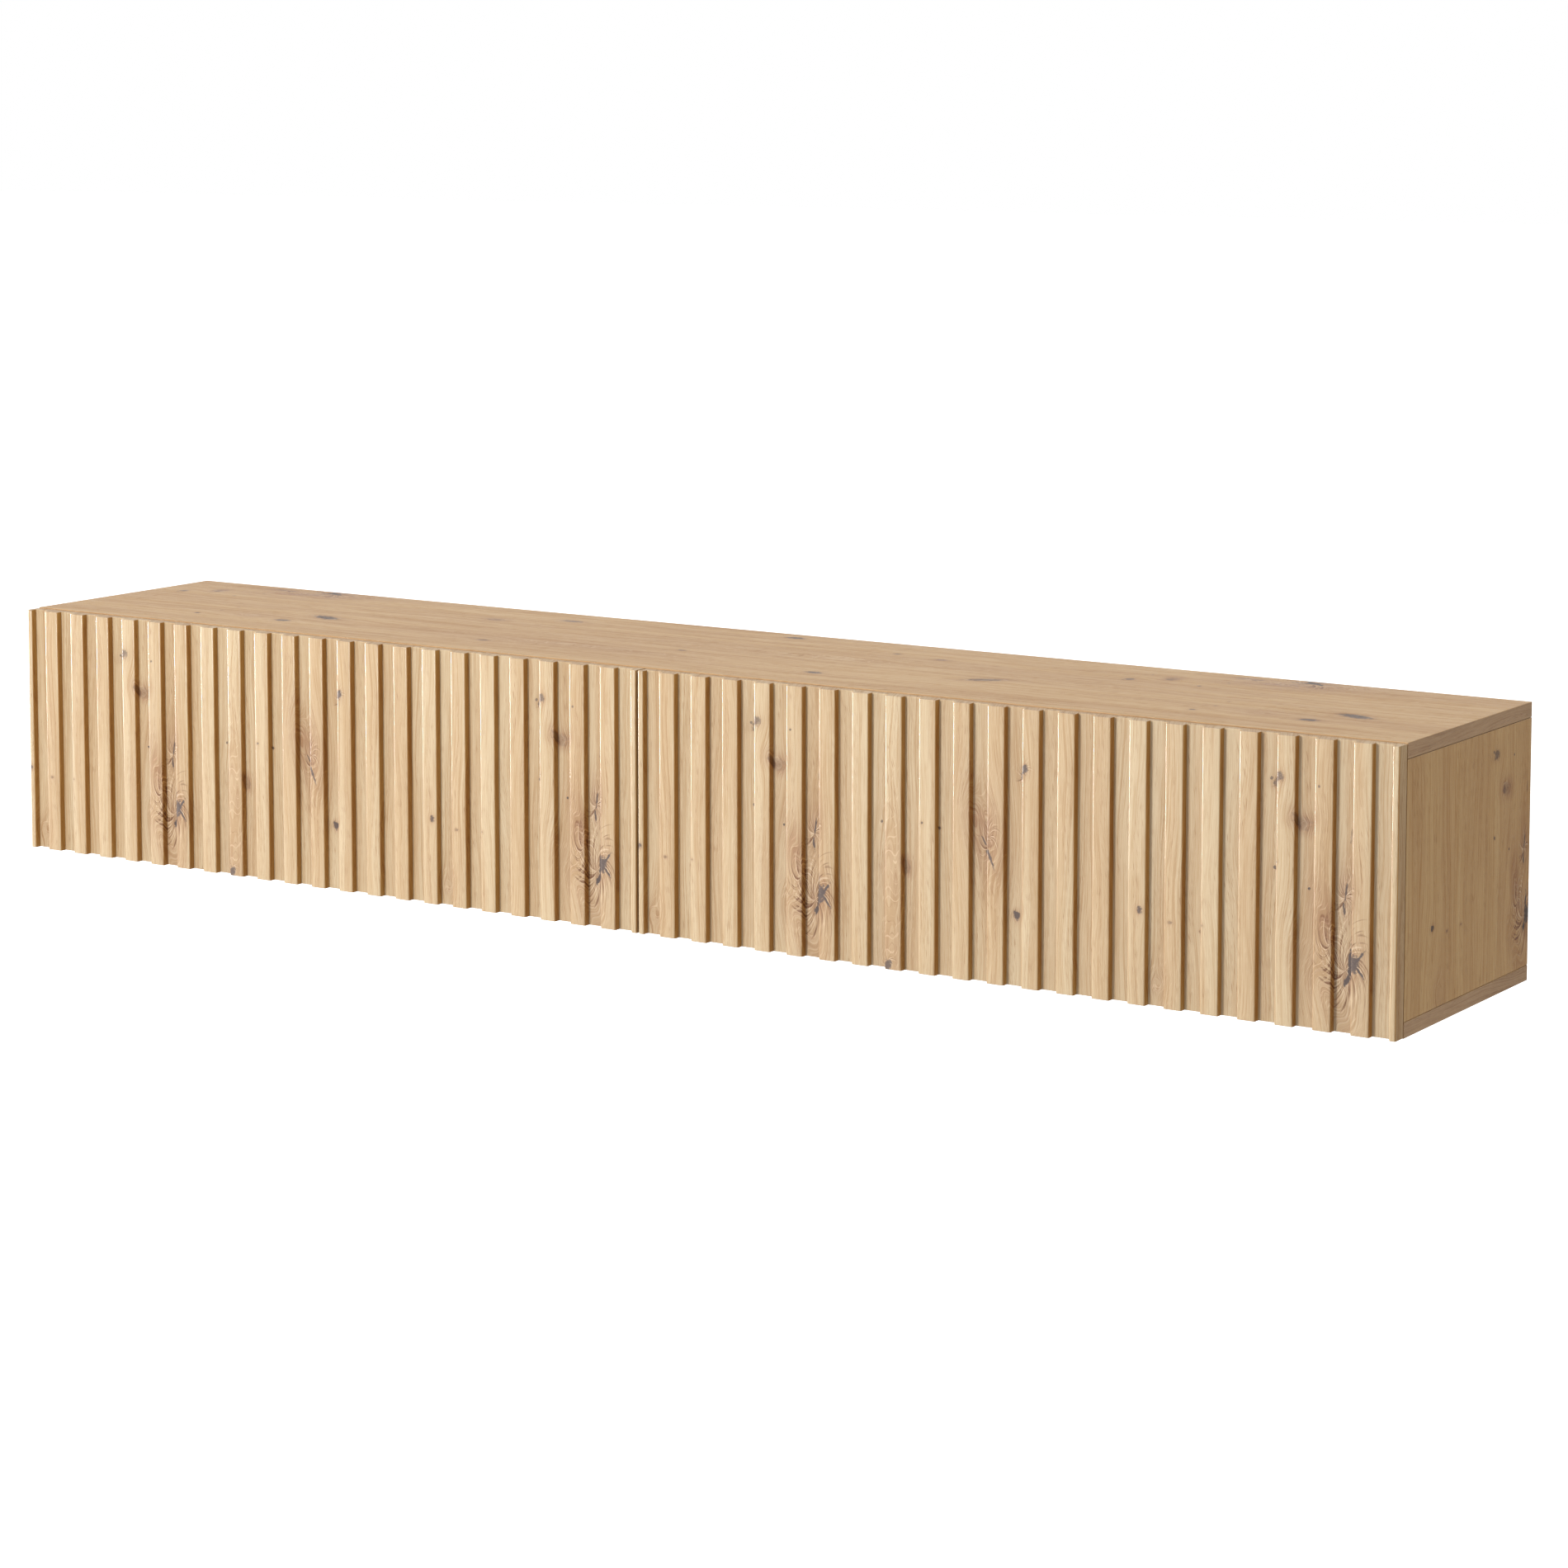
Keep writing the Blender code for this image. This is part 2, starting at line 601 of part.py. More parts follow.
def make_hanger(side, zinc, steel):
    """A wall hanger in an upper rear corner: its hook, set by a screw, hangs on a plate on the wall."""
    name = SIDE_NAMES[side]
    outer = SIDE_INNER - FIT
    middle = side * (outer - HANGER_WIDTH / 2)
    top = CEILING - HANGER_DROP
    centre_z = top - HANGER_HEIGHT / 2
    rear = BACK_FRONT - HANGER_BACK_GAP
    front = rear - HANGER_LENGTH
    cavity_front = rear - HANGER_CAVITY

    housing = box(
        f"{name}_hanger_housing",
        (side * outer, side * (outer - HANGER_WIDTH)),
        (front, rear),
        (top - HANGER_HEIGHT, top),
        zinc,
    )
    half_hook = HOOK_THICKNESS / 2
    room = HOOK_HEIGHT / 2 + HOOK_TRAVEL + 2 * FIT
    cavity = box(
        f"{name}_hanger_cavity",
        (middle - half_hook - 2 * FIT, middle + half_hook + 2 * FIT),
        (cavity_front, rear + PAST),
        (centre_z - room, centre_z + room),
    )
    screw_end = front - PAST + HANGER_SCREW_LENGTH
    screw_bore = cylinder(
        f"{name}_hanger_screw_bore",
        (middle, front - PAST, centre_z),
        (middle, cavity_front + PAST, centre_z),
        HANGER_SCREW_RADIUS + FIT,
        SMALL_ROUND,
    )
    cut(housing, cavity, screw_bore)

    hook_front = cavity_front + 2 * FIT
    hook_top = centre_z + HOOK_HEIGHT / 2
    lip_back = -HOOK_LIP
    hook_outline = [
        (hook_front, centre_z - HOOK_HEIGHT / 2),
        (rear, centre_z - HOOK_HEIGHT / 2),
        (rear, hook_top - HOOK_ARM_HEIGHT),
        (lip_back - HOOK_LIP, hook_top - HOOK_ARM_HEIGHT),
        (lip_back - HOOK_LIP, hook_top - HOOK_LIP_DROP),
        (lip_back, hook_top - HOOK_LIP_DROP),
        (lip_back, hook_top),
        (hook_front, hook_top),
    ]
    hook = prism(
        f"{name}_hanger_hook", hook_outline, (middle - half_hook, middle + half_hook), "X", steel
    )
    screw = cylinder(
        f"{name}_hanger_screw",
        (middle, front - PAST, centre_z),
        (middle, min(screw_end, cavity_front - FIT), centre_z),
        HANGER_SCREW_RADIUS,
        SMALL_ROUND,
        steel,
    )

    plate_top = hook_top - HOOK_ARM_HEIGHT - FIT
    plate_bottom = plate_top - WALL_PLATE_HEIGHT
    step_z = plate_top - WALL_PLATE_LIP
    stand = -WALL_PLATE_STANDOFF
    wall_plate_outline = [
        (0, plate_bottom),
        (0, step_z),
        (stand + WALL_PLATE_THICKNESS, step_z + WALL_PLATE_STANDOFF / 2),
        (stand + WALL_PLATE_THICKNESS, plate_top),
        (stand, plate_top),
        (stand, step_z + WALL_PLATE_STANDOFF / 2 - WALL_PLATE_THICKNESS / 2),
        (-WALL_PLATE_THICKNESS, step_z - WALL_PLATE_THICKNESS / 2),
        (-WALL_PLATE_THICKNESS, plate_bottom),
    ]
    plate_outer = SIDE_INNER - (NOTCH_WIDTH - WALL_PLATE_WIDTH) / 2
    wall_plate = prism(
        f"{name}_wall_plate",
        wall_plate_outline,
        (side * plate_outer, side * (plate_outer - WALL_PLATE_WIDTH)),
        "X",
        steel,
    )
    attach(add_axis(f"{name}_hanger_hook_axis", (middle, rear, centre_z)), hook, wall_plate)
    attach(add_axis(f"{name}_hanger_screw_axis", (middle, front, centre_z)), screw)


def make_connector(label, upright, board, column, face, board_face, y, zinc):
    """A cam in an upright's face that draws a bolt standing in the top or bottom panel.

    column is the upright's middle in X, face is (x, direction into the upright), board_face is (z, +1 or -1
    into the board).
    """
    face_x, inward = face
    edge_z, upward = board_face
    cam_z = edge_z - upward * CAM_FROM_EDGE
    cam = cylinder(
        f"{label}_cam_connector",
        (face_x, y, cam_z),
        (face_x + inward * (CAM_DEPTH - FIT), y, cam_z),
        CAM_RADIUS,
        ROUND,
        zinc,
    )
    bolt_end = edge_z + upward * (BOLT_INTO_BOARD - FIT)
    bolt_start = cam_z + upward * FIT
    bolt = cylinder(f"{label}_bolt", (column, y, bolt_start), (column, y, bolt_end), BOLT_RADIUS, SMALL_ROUND)
    join(cam, bolt)
    cam_bore = cylinder(
        f"{label}_cam_bore",
        (face_x - inward * PAST, y, cam_z),
        (face_x + inward * CAM_DEPTH, y, cam_z),
        CAM_RADIUS + FIT,
        ROUND,
    )
    bore_start = (column, y, cam_z)
    bore_end = (column, y, edge_z + upward * PAST)
    edge_bore = cylinder(f"{label}_edge_bore", bore_start, bore_end, BOLT_RADIUS + FIT, SMALL_ROUND)
    cut(upright, cam_bore, edge_bore)
    board_bore = cylinder(
        f"{label}_board_bore",
        (column, y, edge_z - upward * PAST),
        (column, y, edge_z + upward * BOLT_INTO_BOARD),
        BOLT_RADIUS + FIT,
        SMALL_ROUND,
    )
    cut(board, board_bore)


def make_connectors(boards, zinc):
    """Two connectors, front and rear, where each upright meets the top and the bottom panel."""
    uprights = {
        "left": ("left_side_panel", -SIDE_INNER - BOARD / 2, (-SIDE_INNER, -1)),
        "centre": ("centre_divider", 0.0, (-BOARD / 2, 1)),
        "right": ("right_side_panel", SIDE_INNER + BOARD / 2, (SIDE_INNER, 1)),
    }
    levels = {"top": ("top_panel", (CEILING, 1)), "bottom": ("bottom_panel", (FLOOR, -1))}
    rows = {"front": FRONT + CAM_FROM_FRONT, "rear": -CAM_FROM_BACK}
    for upright_name, (upright, column, face) in uprights.items():
        for level, (board, board_face) in levels.items():
            for row, y in rows.items():
                label = f"{upright_name}_{level}_{row}"
                make_connector(label, boards[upright], boards[board], column, face, board_face, y, zinc)


def make_cabinet():
    oak = make_material("oak_decor", (0.60, 0.42, 0.24), 0.5)
    fibreboard = make_material("back_fibreboard", (0.55, 0.40, 0.25), 0.6)
    zinc = make_material("zinc_fitting", (0.62, 0.62, 0.63), 0.35, 1.0)
    steel = make_material("steel", (0.55, 0.56, 0.58), 0.3, 1.0)
    dark_plastic = make_material("grey_plastic", (0.16, 0.16, 0.17), 0.5)

    boards = make_boards(oak)
    make_connectors(boards, zinc)
    for side, name in SIDE_NAMES.items():
        make_back_panel(side, boards, fibreboard)
        flap = make_flap(side, oak)
        flap_middle = side * (SEAM / 2 + FLAP_WIDTH / 2)
        flap_axis = add_axis(f"{name}_flap_axis", (flap_middle, AXIS_Y, AXIS_Z))
        riders = [flap]
        for place, rib in (("outer", HINGE_RIB), ("inner", GROOVES - HINGE_RIB)):
            x = rib_centre(side, rib)
            riders += make_hinge(f"{name}_{place}_hinge", x, flap, zinc, steel)
        attach(flap_axis, *riders)
        make_stay(side, flap_axis, zinc, steel, dark_plastic)
        make_latch(side, flap_axis, dark_plastic, steel)
        make_hanger(side, zinc, steel)


for leftover in list(bpy.data.objects):
    bpy.data.objects.remove(leftover, do_unlink=True)
make_cabinet()
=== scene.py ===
"""A wall-hung media cabinet: oak-decor boards, ribbed drop-down flaps and their fittings, in metres."""

import math

import bmesh
import bpy
import numpy as np
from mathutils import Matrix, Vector


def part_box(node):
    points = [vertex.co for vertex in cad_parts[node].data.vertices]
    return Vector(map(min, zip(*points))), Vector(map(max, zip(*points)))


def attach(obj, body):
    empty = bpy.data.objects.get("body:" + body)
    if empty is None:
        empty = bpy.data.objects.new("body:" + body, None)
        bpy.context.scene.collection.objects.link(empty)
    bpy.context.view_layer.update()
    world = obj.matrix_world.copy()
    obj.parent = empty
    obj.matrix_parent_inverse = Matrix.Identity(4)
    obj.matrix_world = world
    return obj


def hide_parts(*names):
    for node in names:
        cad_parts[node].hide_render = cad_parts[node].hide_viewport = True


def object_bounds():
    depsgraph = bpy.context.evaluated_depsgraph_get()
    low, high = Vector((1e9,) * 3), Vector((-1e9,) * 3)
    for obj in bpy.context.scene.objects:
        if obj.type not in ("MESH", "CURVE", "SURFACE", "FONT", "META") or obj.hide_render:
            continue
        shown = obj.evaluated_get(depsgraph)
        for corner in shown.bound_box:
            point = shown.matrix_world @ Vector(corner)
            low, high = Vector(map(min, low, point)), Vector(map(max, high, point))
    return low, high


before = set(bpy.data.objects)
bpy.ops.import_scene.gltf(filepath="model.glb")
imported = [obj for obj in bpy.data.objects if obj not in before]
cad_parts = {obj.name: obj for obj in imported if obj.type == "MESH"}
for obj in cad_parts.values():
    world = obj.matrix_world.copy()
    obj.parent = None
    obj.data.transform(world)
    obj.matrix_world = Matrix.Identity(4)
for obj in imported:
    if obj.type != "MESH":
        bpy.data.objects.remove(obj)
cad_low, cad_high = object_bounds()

# ---------------------------------------------------------------------------------------------
# The room
# The cabinet hangs about 0.45 m above a pale floor, in white daylight that is weaker from the right.
# One square lamp stands in front, above and a little left. A larger one, far off to the left, grazes
# the ribs.

scene = bpy.context.scene
scene.view_settings.view_transform = "Standard"
WHITE = (1.0, 1.0, 1.0, 1.0)
FLOOR_BELOW = 0.45
FLOOR_REACH = 30.0
FLOOR_BOUNCE = 0.50
DAYLIGHT_LEFT = 1.06
DAYLIGHT_RIGHT = 0.97
# Per lamp: place, width and power
LAMPS = {
    "front_lamp": (Vector((-1.10, -4.30, 1.40)), 1.0, 212.0),
    "side_lamp": (Vector((-9.00, -1.75, 0.55)), 1.6, 900.0),
}
CAMERA_PLACE = (2.5041, -3.8542, 0.7945)
CAMERA_DOWN = math.radians(5.696)
CAMERA_TURN = math.radians(33.235)
CAMERA_LENS = 92.45
CAMERA_SHIFT = -0.20


def add_node(tree, kind, inputs=(), **settings):
    """Adds a shader node. Each input, by name or by number, is a plain value or another node's output."""
    node = tree.nodes.new("ShaderNode" + kind)
    for setting, value in settings.items():
        setattr(node, setting, value)
    pairs = inputs.items() if isinstance(inputs, dict) else enumerate(inputs)
    for key, value in pairs:
        if isinstance(value, bpy.types.NodeSocket):
            tree.links.new(value, node.inputs[key])
        else:
            node.inputs[key].default_value = value
    return node


def new_material(name):
    """A material, its node tree and its shader."""
    material = bpy.data.materials.new(name)
    material.use_nodes = True
    tree = material.node_tree
    return material, tree, tree.nodes["Principled BSDF"]


world = bpy.data.worlds.new("daylight")
world.use_nodes = True
scene.world = world
sky = world.node_tree
direction = add_node(sky, "SeparateXYZ", [add_node(sky, "TexCoord").outputs["Generated"]])
daylight = add_node(sky, "MapRange", {
    "Value": direction.outputs["X"], "From Min": -1.0, "To Min": DAYLIGHT_LEFT, "To Max": DAYLIGHT_RIGHT,
})
seen = add_node(sky, "LightPath").outputs["Is Camera Ray"]
backdrop = add_node(sky, "Mix", {"Factor": seen, "A": daylight.outputs[0], "B": 1.0})
sky.links.new(backdrop.outputs[0], sky.nodes["Background"].inputs["Strength"])
sky.nodes["Background"].inputs["Color"].default_value = WHITE

floor_paint, floor_tree, floor_shader = new_material("floor_paint")
floor_shader.inputs["Base Color"].default_value = (FLOOR_BOUNCE, FLOOR_BOUNCE, FLOOR_BOUNCE, 1.0)
floor_shader.inputs["Roughness"].default_value = 0.9
floor_shader.inputs["Specular IOR Level"].default_value = 0.0
floor_shader.inputs["Emission Color"].default_value = WHITE
seen = add_node(floor_tree, "LightPath").outputs["Is Camera Ray"]
floor_tree.links.new(seen, floor_shader.inputs["Emission Strength"])

floor_level = cad_low.z - FLOOR_BELOW
floor_corners = [
    (x * FLOOR_REACH, y * FLOOR_REACH, floor_level) for x, y in ((-1, -1), (1, -1), (1, 1), (-1, 1))
]
floor_mesh = bpy.data.meshes.new("floor")
floor_mesh.from_pydata(floor_corners, [], [(0, 1, 2, 3)])
floor_mesh.materials.append(floor_paint)
floor = bpy.data.objects.new("floor", floor_mesh)
scene.collection.objects.link(floor)

for lamp_name, (lamp_place, lamp_width, lamp_power) in LAMPS.items():
    lamp_data = bpy.data.lights.new(lamp_name, "AREA")
    lamp_data.size = lamp_width
    lamp_data.energy = lamp_power
    lamp = bpy.data.objects.new(lamp_name, lamp_data)
    lamp.location = lamp_place
    lamp.rotation_euler = (Vector((0.0, cad_low.y, 0.0)) - lamp_place).to_track_quat("-Z", "Y").to_euler()
    scene.collection.objects.link(lamp)

camera_data = bpy.data.cameras.new("camera")
camera_data.lens = CAMERA_LENS
camera_data.shift_y = CAMERA_SHIFT
camera = bpy.data.objects.new("camera", camera_data)
camera.location = CAMERA_PLACE
camera.rotation_euler = (math.pi / 2 - CAMERA_DOWN, 0.0, CAMERA_TURN)
scene.collection.objects.link(camera)
scene.camera = camera

# ---------------------------------------------------------------------------------------------
# The oak decor
# Every board is laminated, and every flap wrapped, with one printed oak paper. Its pattern comes
# round every 616 mm across the grain and every 1337 mm along it, with the same knots each time.

ROLL_ACROSS = 0.616
ROLL_ALONG = 1.337
MM = 0.001
FAN_LINES = 11.0
FAN_STEP = 16 * MM
# The value of the attribute "wall" on a flap's cut ends, top and bottom, where it lays a lighter share of
# the painted groove shade; on a groove's walls it is 1
FLAP_END = 0.4


def calc(tree, operation, *values):
    """The result of one Math node."""
    return add_node(tree, "Math", values, operation=operation).outputs[0]


def ramp(tree, value, start, end, low=0.0, high=1.0):
    """Rises smoothly from low to high while the value goes from start to end."""
    limits = {"Value": value, "From Min": start, "From Max": end, "To Min": low, "To Max": high}
    return add_node(tree, "MapRange", limits, interpolation_type="SMOOTHSTEP").outputs[0]


def tint(tree, amount, below, above, blend="MIX"):
    """Lays one colour over another by a mask."""
    mix = add_node(tree, "Mix", data_type="RGBA", blend_type=blend, clamp_factor=True)
    for socket, value in zip((mix.inputs[0], mix.inputs[6], mix.inputs[7]), (amount, below, above)):
        if isinstance(value, bpy.types.NodeSocket):
            tree.links.new(value, socket)
        else:
            socket.default_value = value
    return mix.outputs[2]


def start_group(name, inputs, outputs):
    """A new shader group with named sockets, and the ends that its nodes are wired between."""
    group = bpy.data.node_groups.new(name, "ShaderNodeTree")
    for label, kind in inputs.items():
        group.interface.new_socket(label, in_out="INPUT", socket_type="NodeSocket" + kind)
    for label, kind in outputs.items():
        group.interface.new_socket(label, in_out="OUTPUT", socket_type="NodeSocket" + kind)
    return group, group.nodes.new("NodeGroupInput").outputs, group.nodes.new("NodeGroupOutput").inputs


def noise(tree, place, scale, detail, **settings):
    """The value of one noise texture, about 0.5 on the whole."""
    inputs = {"Vector": place, "Scale": scale, "Detail": detail}
    return add_node(tree, "TexNoise", inputs, **settings).outputs[0]


def streaks(tree, across, along, width, length, detail=2.0, start=0.0):
    """Noise drawn out along the grain: a blotch is about width by length."""
    place = add_node(tree, "CombineXYZ", [
        calc(tree, "MULTIPLY_ADD", across, 1.0 / width, start),
        calc(tree, "MULTIPLY", along, 1.0 / length),
    ]).outputs[0]
    return noise(tree, place, 1.0, detail, noise_dimensions="2D")


def round_centre(group, given):
    """How far a point lies beside and along from a centre, on the nearest repeat of the print, and the
    square of its distance on an ellipse. Lean slants the ellipse, Stretch draws it out along the grain."""
    away = calc(group, "SUBTRACT", given["Along"], given["Centre Along"])
    away = calc(group, "WRAP", away, ROLL_ALONG / 2, -ROLL_ALONG / 2)
    beside = calc(group, "SUBTRACT", given["Across"], given["Centre Across"])
    beside = calc(group, "WRAP", beside, ROLL_ACROSS / 2, -ROLL_ACROSS / 2)
    beside = calc(group, "SUBTRACT", beside, calc(group, "MULTIPLY", away, given["Lean"]))
    away = calc(group, "DIVIDE", away, given["Stretch"])
    square = calc(group, "MULTIPLY_ADD", beside, beside, calc(group, "MULTIPLY", away, away))
    return beside, away, square


def make_knot_group():
    """One knot of the print.

    The grain lines part round it as a stream does round a post. A point at distance a beside the knot's
    middle is moved by -a / ((q + s) * (1 + q / 25)), where q is the square of its distance on an ellipse,
    counted in knot radii, and s is 0.75, or 0.3 round a dark knot. Inside is a dark core with a ragged edge.
    """
    numbers = (
        "Across", "Along", "Ragged", "Centre Across", "Centre Along",
        "Radius", "Stretch", "Lean", "Darkness",
    )
    results = dict.fromkeys(("Shift", "Halo", "Core"), "Float")
    group, given, made = start_group("oak knot", dict.fromkeys(numbers, "Float"), results)
    beside, away, square = round_centre(group, given)
    radius_square = calc(group, "MULTIPLY", given["Radius"], given["Radius"])
    ratio = calc(group, "DIVIDE", square, radius_square)
    soft = calc(group, "ADD", ratio, calc(group, "MULTIPLY_ADD", given["Darkness"], -0.45, 0.75))
    softened = calc(group, "MULTIPLY", soft, calc(group, "MULTIPLY_ADD", ratio, 0.04, 1.0))
    group.links.new(calc(group, "DIVIDE", calc(group, "MULTIPLY", beside, -1.0), softened), made["Shift"])
    group.links.new(calc(group, "EXPONENT", calc(group, "MULTIPLY", ratio, -0.35)), made["Halo"])
    edge = calc(group, "ADD", calc(group, "SQRT", ratio), calc(group, "MULTIPLY", given["Ragged"], 1.5))
    core = calc(group, "MULTIPLY", ramp(group, edge, 1.30, 0.70), given["Darkness"])
    group.links.new(core, made["Core"])
    return group


def make_fan_group():
    """Fine curved lines that fan out from a burl.

    A point at distance d from the middle, measured on an ellipse, and at angle t round it gets the noise at
    (FAN_LINES * cos u, FAN_LINES * sin u, d / FAN_STEP) with u = t + Twist * d / Reach, and the lines fade
    out as exp(-(d / Reach)^2).
    """
    numbers = (
        "Across", "Along", "Centre Across", "Centre Along",
        "Reach", "Stretch", "Lean", "Twist", "Strength",
    )
    group, given, made = start_group("oak fan", dict.fromkeys(numbers, "Float"), {"Fan": "Float"})
    beside, away, square = round_centre(group, given)
    distance = calc(group, "SQRT", square)
    share = calc(group, "DIVIDE", distance, given["Reach"])
    angle = calc(group, "MULTIPLY_ADD", share, given["Twist"], calc(group, "ARCTAN2", away, beside))
    place = add_node(group, "CombineXYZ", [
        calc(group, "MULTIPLY", calc(group, "COSINE", angle), FAN_LINES),
        calc(group, "MULTIPLY", calc(group, "SINE", angle), FAN_LINES),
        calc(group, "MULTIPLY", distance, 1.0 / FAN_STEP),
    ]).outputs[0]
    fade = calc(group, "EXPONENT", calc(group, "MULTIPLY", calc(group, "MULTIPLY", share, share), -1.0))
    fade = calc(group, "MULTIPLY", fade, given["Strength"])
    lines = calc(group, "SUBTRACT", noise(group, place, 1.0, 1.0), 0.5)
    group.links.new(calc(group, "MULTIPLY", lines, fade), made["Fan"])
    return group


def make_grain_group():
    """The print's wood: tone bands, year rings, pores and flecks along the grain, and the knots' marks."""
    colours = {name: "Color" for name in ("Light Tone", "Warm Tone", "Ring Tone", "Pore Tone", "Knot Tone")}
    numbers = dict.fromkeys(("Across", "Along", "Shift", "Halo", "Fan", "Core", "Red"), "Float")
    results = {"Colour": "Color", "Roughness": "Float", "Height": "Float"}
    group, given, made = start_group("oak grain", {**numbers, **colours}, results)
    along = given["Along"]
    wander = streaks(group, given["Across"], along, 60 * MM, 210 * MM, 1.0, 3.7)
    across = calc(group, "ADD", given["Across"], given["Shift"])
    across = calc(group, "MULTIPLY_ADD", wander, 22 * MM, across)

    band = streaks(group, across, along, 34 * MM, 620 * MM, 2.0, 11.3)
    colour = tint(group, ramp(group, band, 0.40, 0.60), given["Light Tone"], given["Warm Tone"])

    broad = streaks(group, across, along, 7 * MM, 330 * MM, 3.0, 5.1)
    strength = streaks(group, across, along, 40 * MM, 900 * MM, 1.0, 27.0)
    strength = ramp(group, strength, 0.42, 0.66, 0.25, 1.0)
    rings = ramp(group, streaks(group, across, along, 2.1 * MM, 300 * MM, 2.0, 17.0), 0.50, 0.68)
    rings = calc(group, "MULTIPLY", rings, strength)
    fibres = ramp(group, streaks(group, across, along, 0.8 * MM, 45 * MM, 2.0, 41.0), 0.42, 0.64)
    lines = calc(group, "MULTIPLY_ADD", rings, 0.75, calc(group, "MULTIPLY", fibres, 0.55))
    lines = calc(group, "MULTIPLY_ADD", ramp(group, broad, 0.44, 0.66), 0.38, lines)
    colour = tint(group, lines, colour, given["Ring Tone"], "MULTIPLY")

    slant = calc(group, "MULTIPLY_ADD", along, 0.10, across)
    pores = ramp(group, streaks(group, slant, along, 0.55 * MM, 15 * MM, 1.0, 71.0), 0.60, 0.74, 0.0, 0.8)
    crowded = ramp(group, streaks(group, across, along, 9 * MM, 160 * MM, 1.0, 83.0), 0.40, 0.65, 0.15, 1.0)
    pores = calc(group, "MULTIPLY", pores, crowded)
    colour = tint(group, pores, colour, given["Pore Tone"], "MULTIPLY")

    lean = calc(group, "MULTIPLY_ADD", along, -0.30, across)
    flecks = ramp(group, streaks(group, lean, along, 1.3 * MM, 11 * MM, 1.0, 97.0), 0.60, 0.78)
    flecks = calc(group, "MULTIPLY", flecks, calc(group, "MULTIPLY_ADD", given["Halo"], 0.2, 0.05))
    colour = tint(group, flecks, colour, (0.75, 0.60, 0.42, 1.0))

    swirl = ramp(group, streaks(group, across, along, 1.5 * MM, 90 * MM, 1.0, 53.0), 0.42, 0.60, 0.55, 1.0)
    red = calc(group, "MULTIPLY", given["Red"], swirl)
    colour = tint(group, red, colour, (0.56, 0.37, 0.28, 1.0), "MULTIPLY")
    dark_lines = ramp(group, given["Fan"], 0.01, 0.09)
    colour = tint(group, dark_lines, colour, (0.40, 0.26, 0.20, 1.0), "MULTIPLY")
    pale_lines = ramp(group, given["Fan"], -0.03, -0.10, 0.0, 0.45)
    colour = tint(group, pale_lines, colour, (0.60, 0.47, 0.33, 1.0))
    colour = tint(group, given["Core"], colour, given["Knot Tone"])

    group.links.new(colour, made["Colour"])
    dull = calc(group, "MULTIPLY_ADD", lines, 0.10, 0.36)
    group.links.new(calc(group, "MULTIPLY_ADD", pores, 0.15, dull), made["Roughness"])
    relief = calc(group, "MULTIPLY_ADD", pores, -1.0, calc(group, "MULTIPLY", lines, -0.35))
    group.links.new(calc(group, "MULTIPLY_ADD", given["Core"], -0.8, relief), made["Height"])
    return group


# Knots of the print in millimetres: across, along, radius, stretch along the grain, lean, darkness, redness
STAR_BURL = [
    (235, 70, 13, 1.5, 0.0, 0.0, 0.75), (237, 71, 5.4, 1.6, 0.15, 0.95, 0.5),
    (233, 78, 1.7, 9.5, 0.05, 1.0, 0.0), (242, 76, 1.8, 4.8, 0.75, 1.0, 0.0),
    (243, 65, 1.6, 4.2, -0.80, 1.0, 0.0), (230, 60, 2.6, 2.2, 0.4, 1.0, 0.4),
    (208, 104, 10, 3.4, -0.25, 0.0, 0.75), (227, 142, 8, 2.9, 0.0, 0.0, 0.65),
    (228, 148, 1.0, 9.0, 0.12, 0.9, 0.0), (226, 130, 1.3, 5.0, -0.1, 0.9, 0.0),
    (212, 40, 17, 2.4, -0.5, 0.0, 0.45), (233, 204, 1.0, 6.0, 0.1, 0.4, 0.3),
]
FACE_KNOTS = [
    (154, 249, 5.4, 0.9, 0.0, 0.68, 0.6), (146, 253, 1.5, 1.0, 0.0, 0.7, 0.3),
    (180, 211, 9, 0.75, 0.0, 0.25, 1.0), (174, 211, 3.6, 1.4, 0.0, 0.50, 0.9),
    (151, 164, 2.1, 0.9, 0.0, 0.8, 0.4), (188, 147, 1.5, 1.0, 0.0, 0.95, 0.4),
    (198, 243, 1.2, 1.0, 0.0, 0.7, 0.2), (311, 163, 1.5, 1.0, 0.0, 0.7, 0.3),
    (361, 160, 1.5, 1.0, 0.0, 0.7, 0.3), (381, 163, 1.8, 0.9, 0.0, 0.8, 0.3),
    (325, 105, 12, 4.0, 0.0, 0.0, 0.35), (341, 118, 5.0, 1.6, 0.0, 0.22, 1.0),
    (320, 5, 4.6, 1.2, 0.0, 0.85, 0.6), (322, 25, 12, 3.0, 0.0, 0.0, 0.40),
    (436, 165, 14, 2.4, -0.2, 0.0, 0.80), (443, 133, 1.6, 7.0, -0.42, 0.9, 0.3),
    (435, 155, 1.2, 4.0, -0.5, 0.8, 0.3), (430, 178, 11, 1.3, 0.0, 0.0, 0.90),
    (483, 228, 4.2, 1.2, 0.0, 0.9, 0.6), (474, 82, 4.0, 1.1, 0.0, 0.95, 0.8),
    (1, 98, 3.0, 1.1, 0.0, 0.85, 0.7), (36, 89, 2.4, 0.6, 0.0, 0.35, 0.7),
    (70, 90, 2.2, 0.6, 0.0, 0.30, 0.6), (20, 30, 9, 1.4, 0.0, 0.0, 0.35),
]
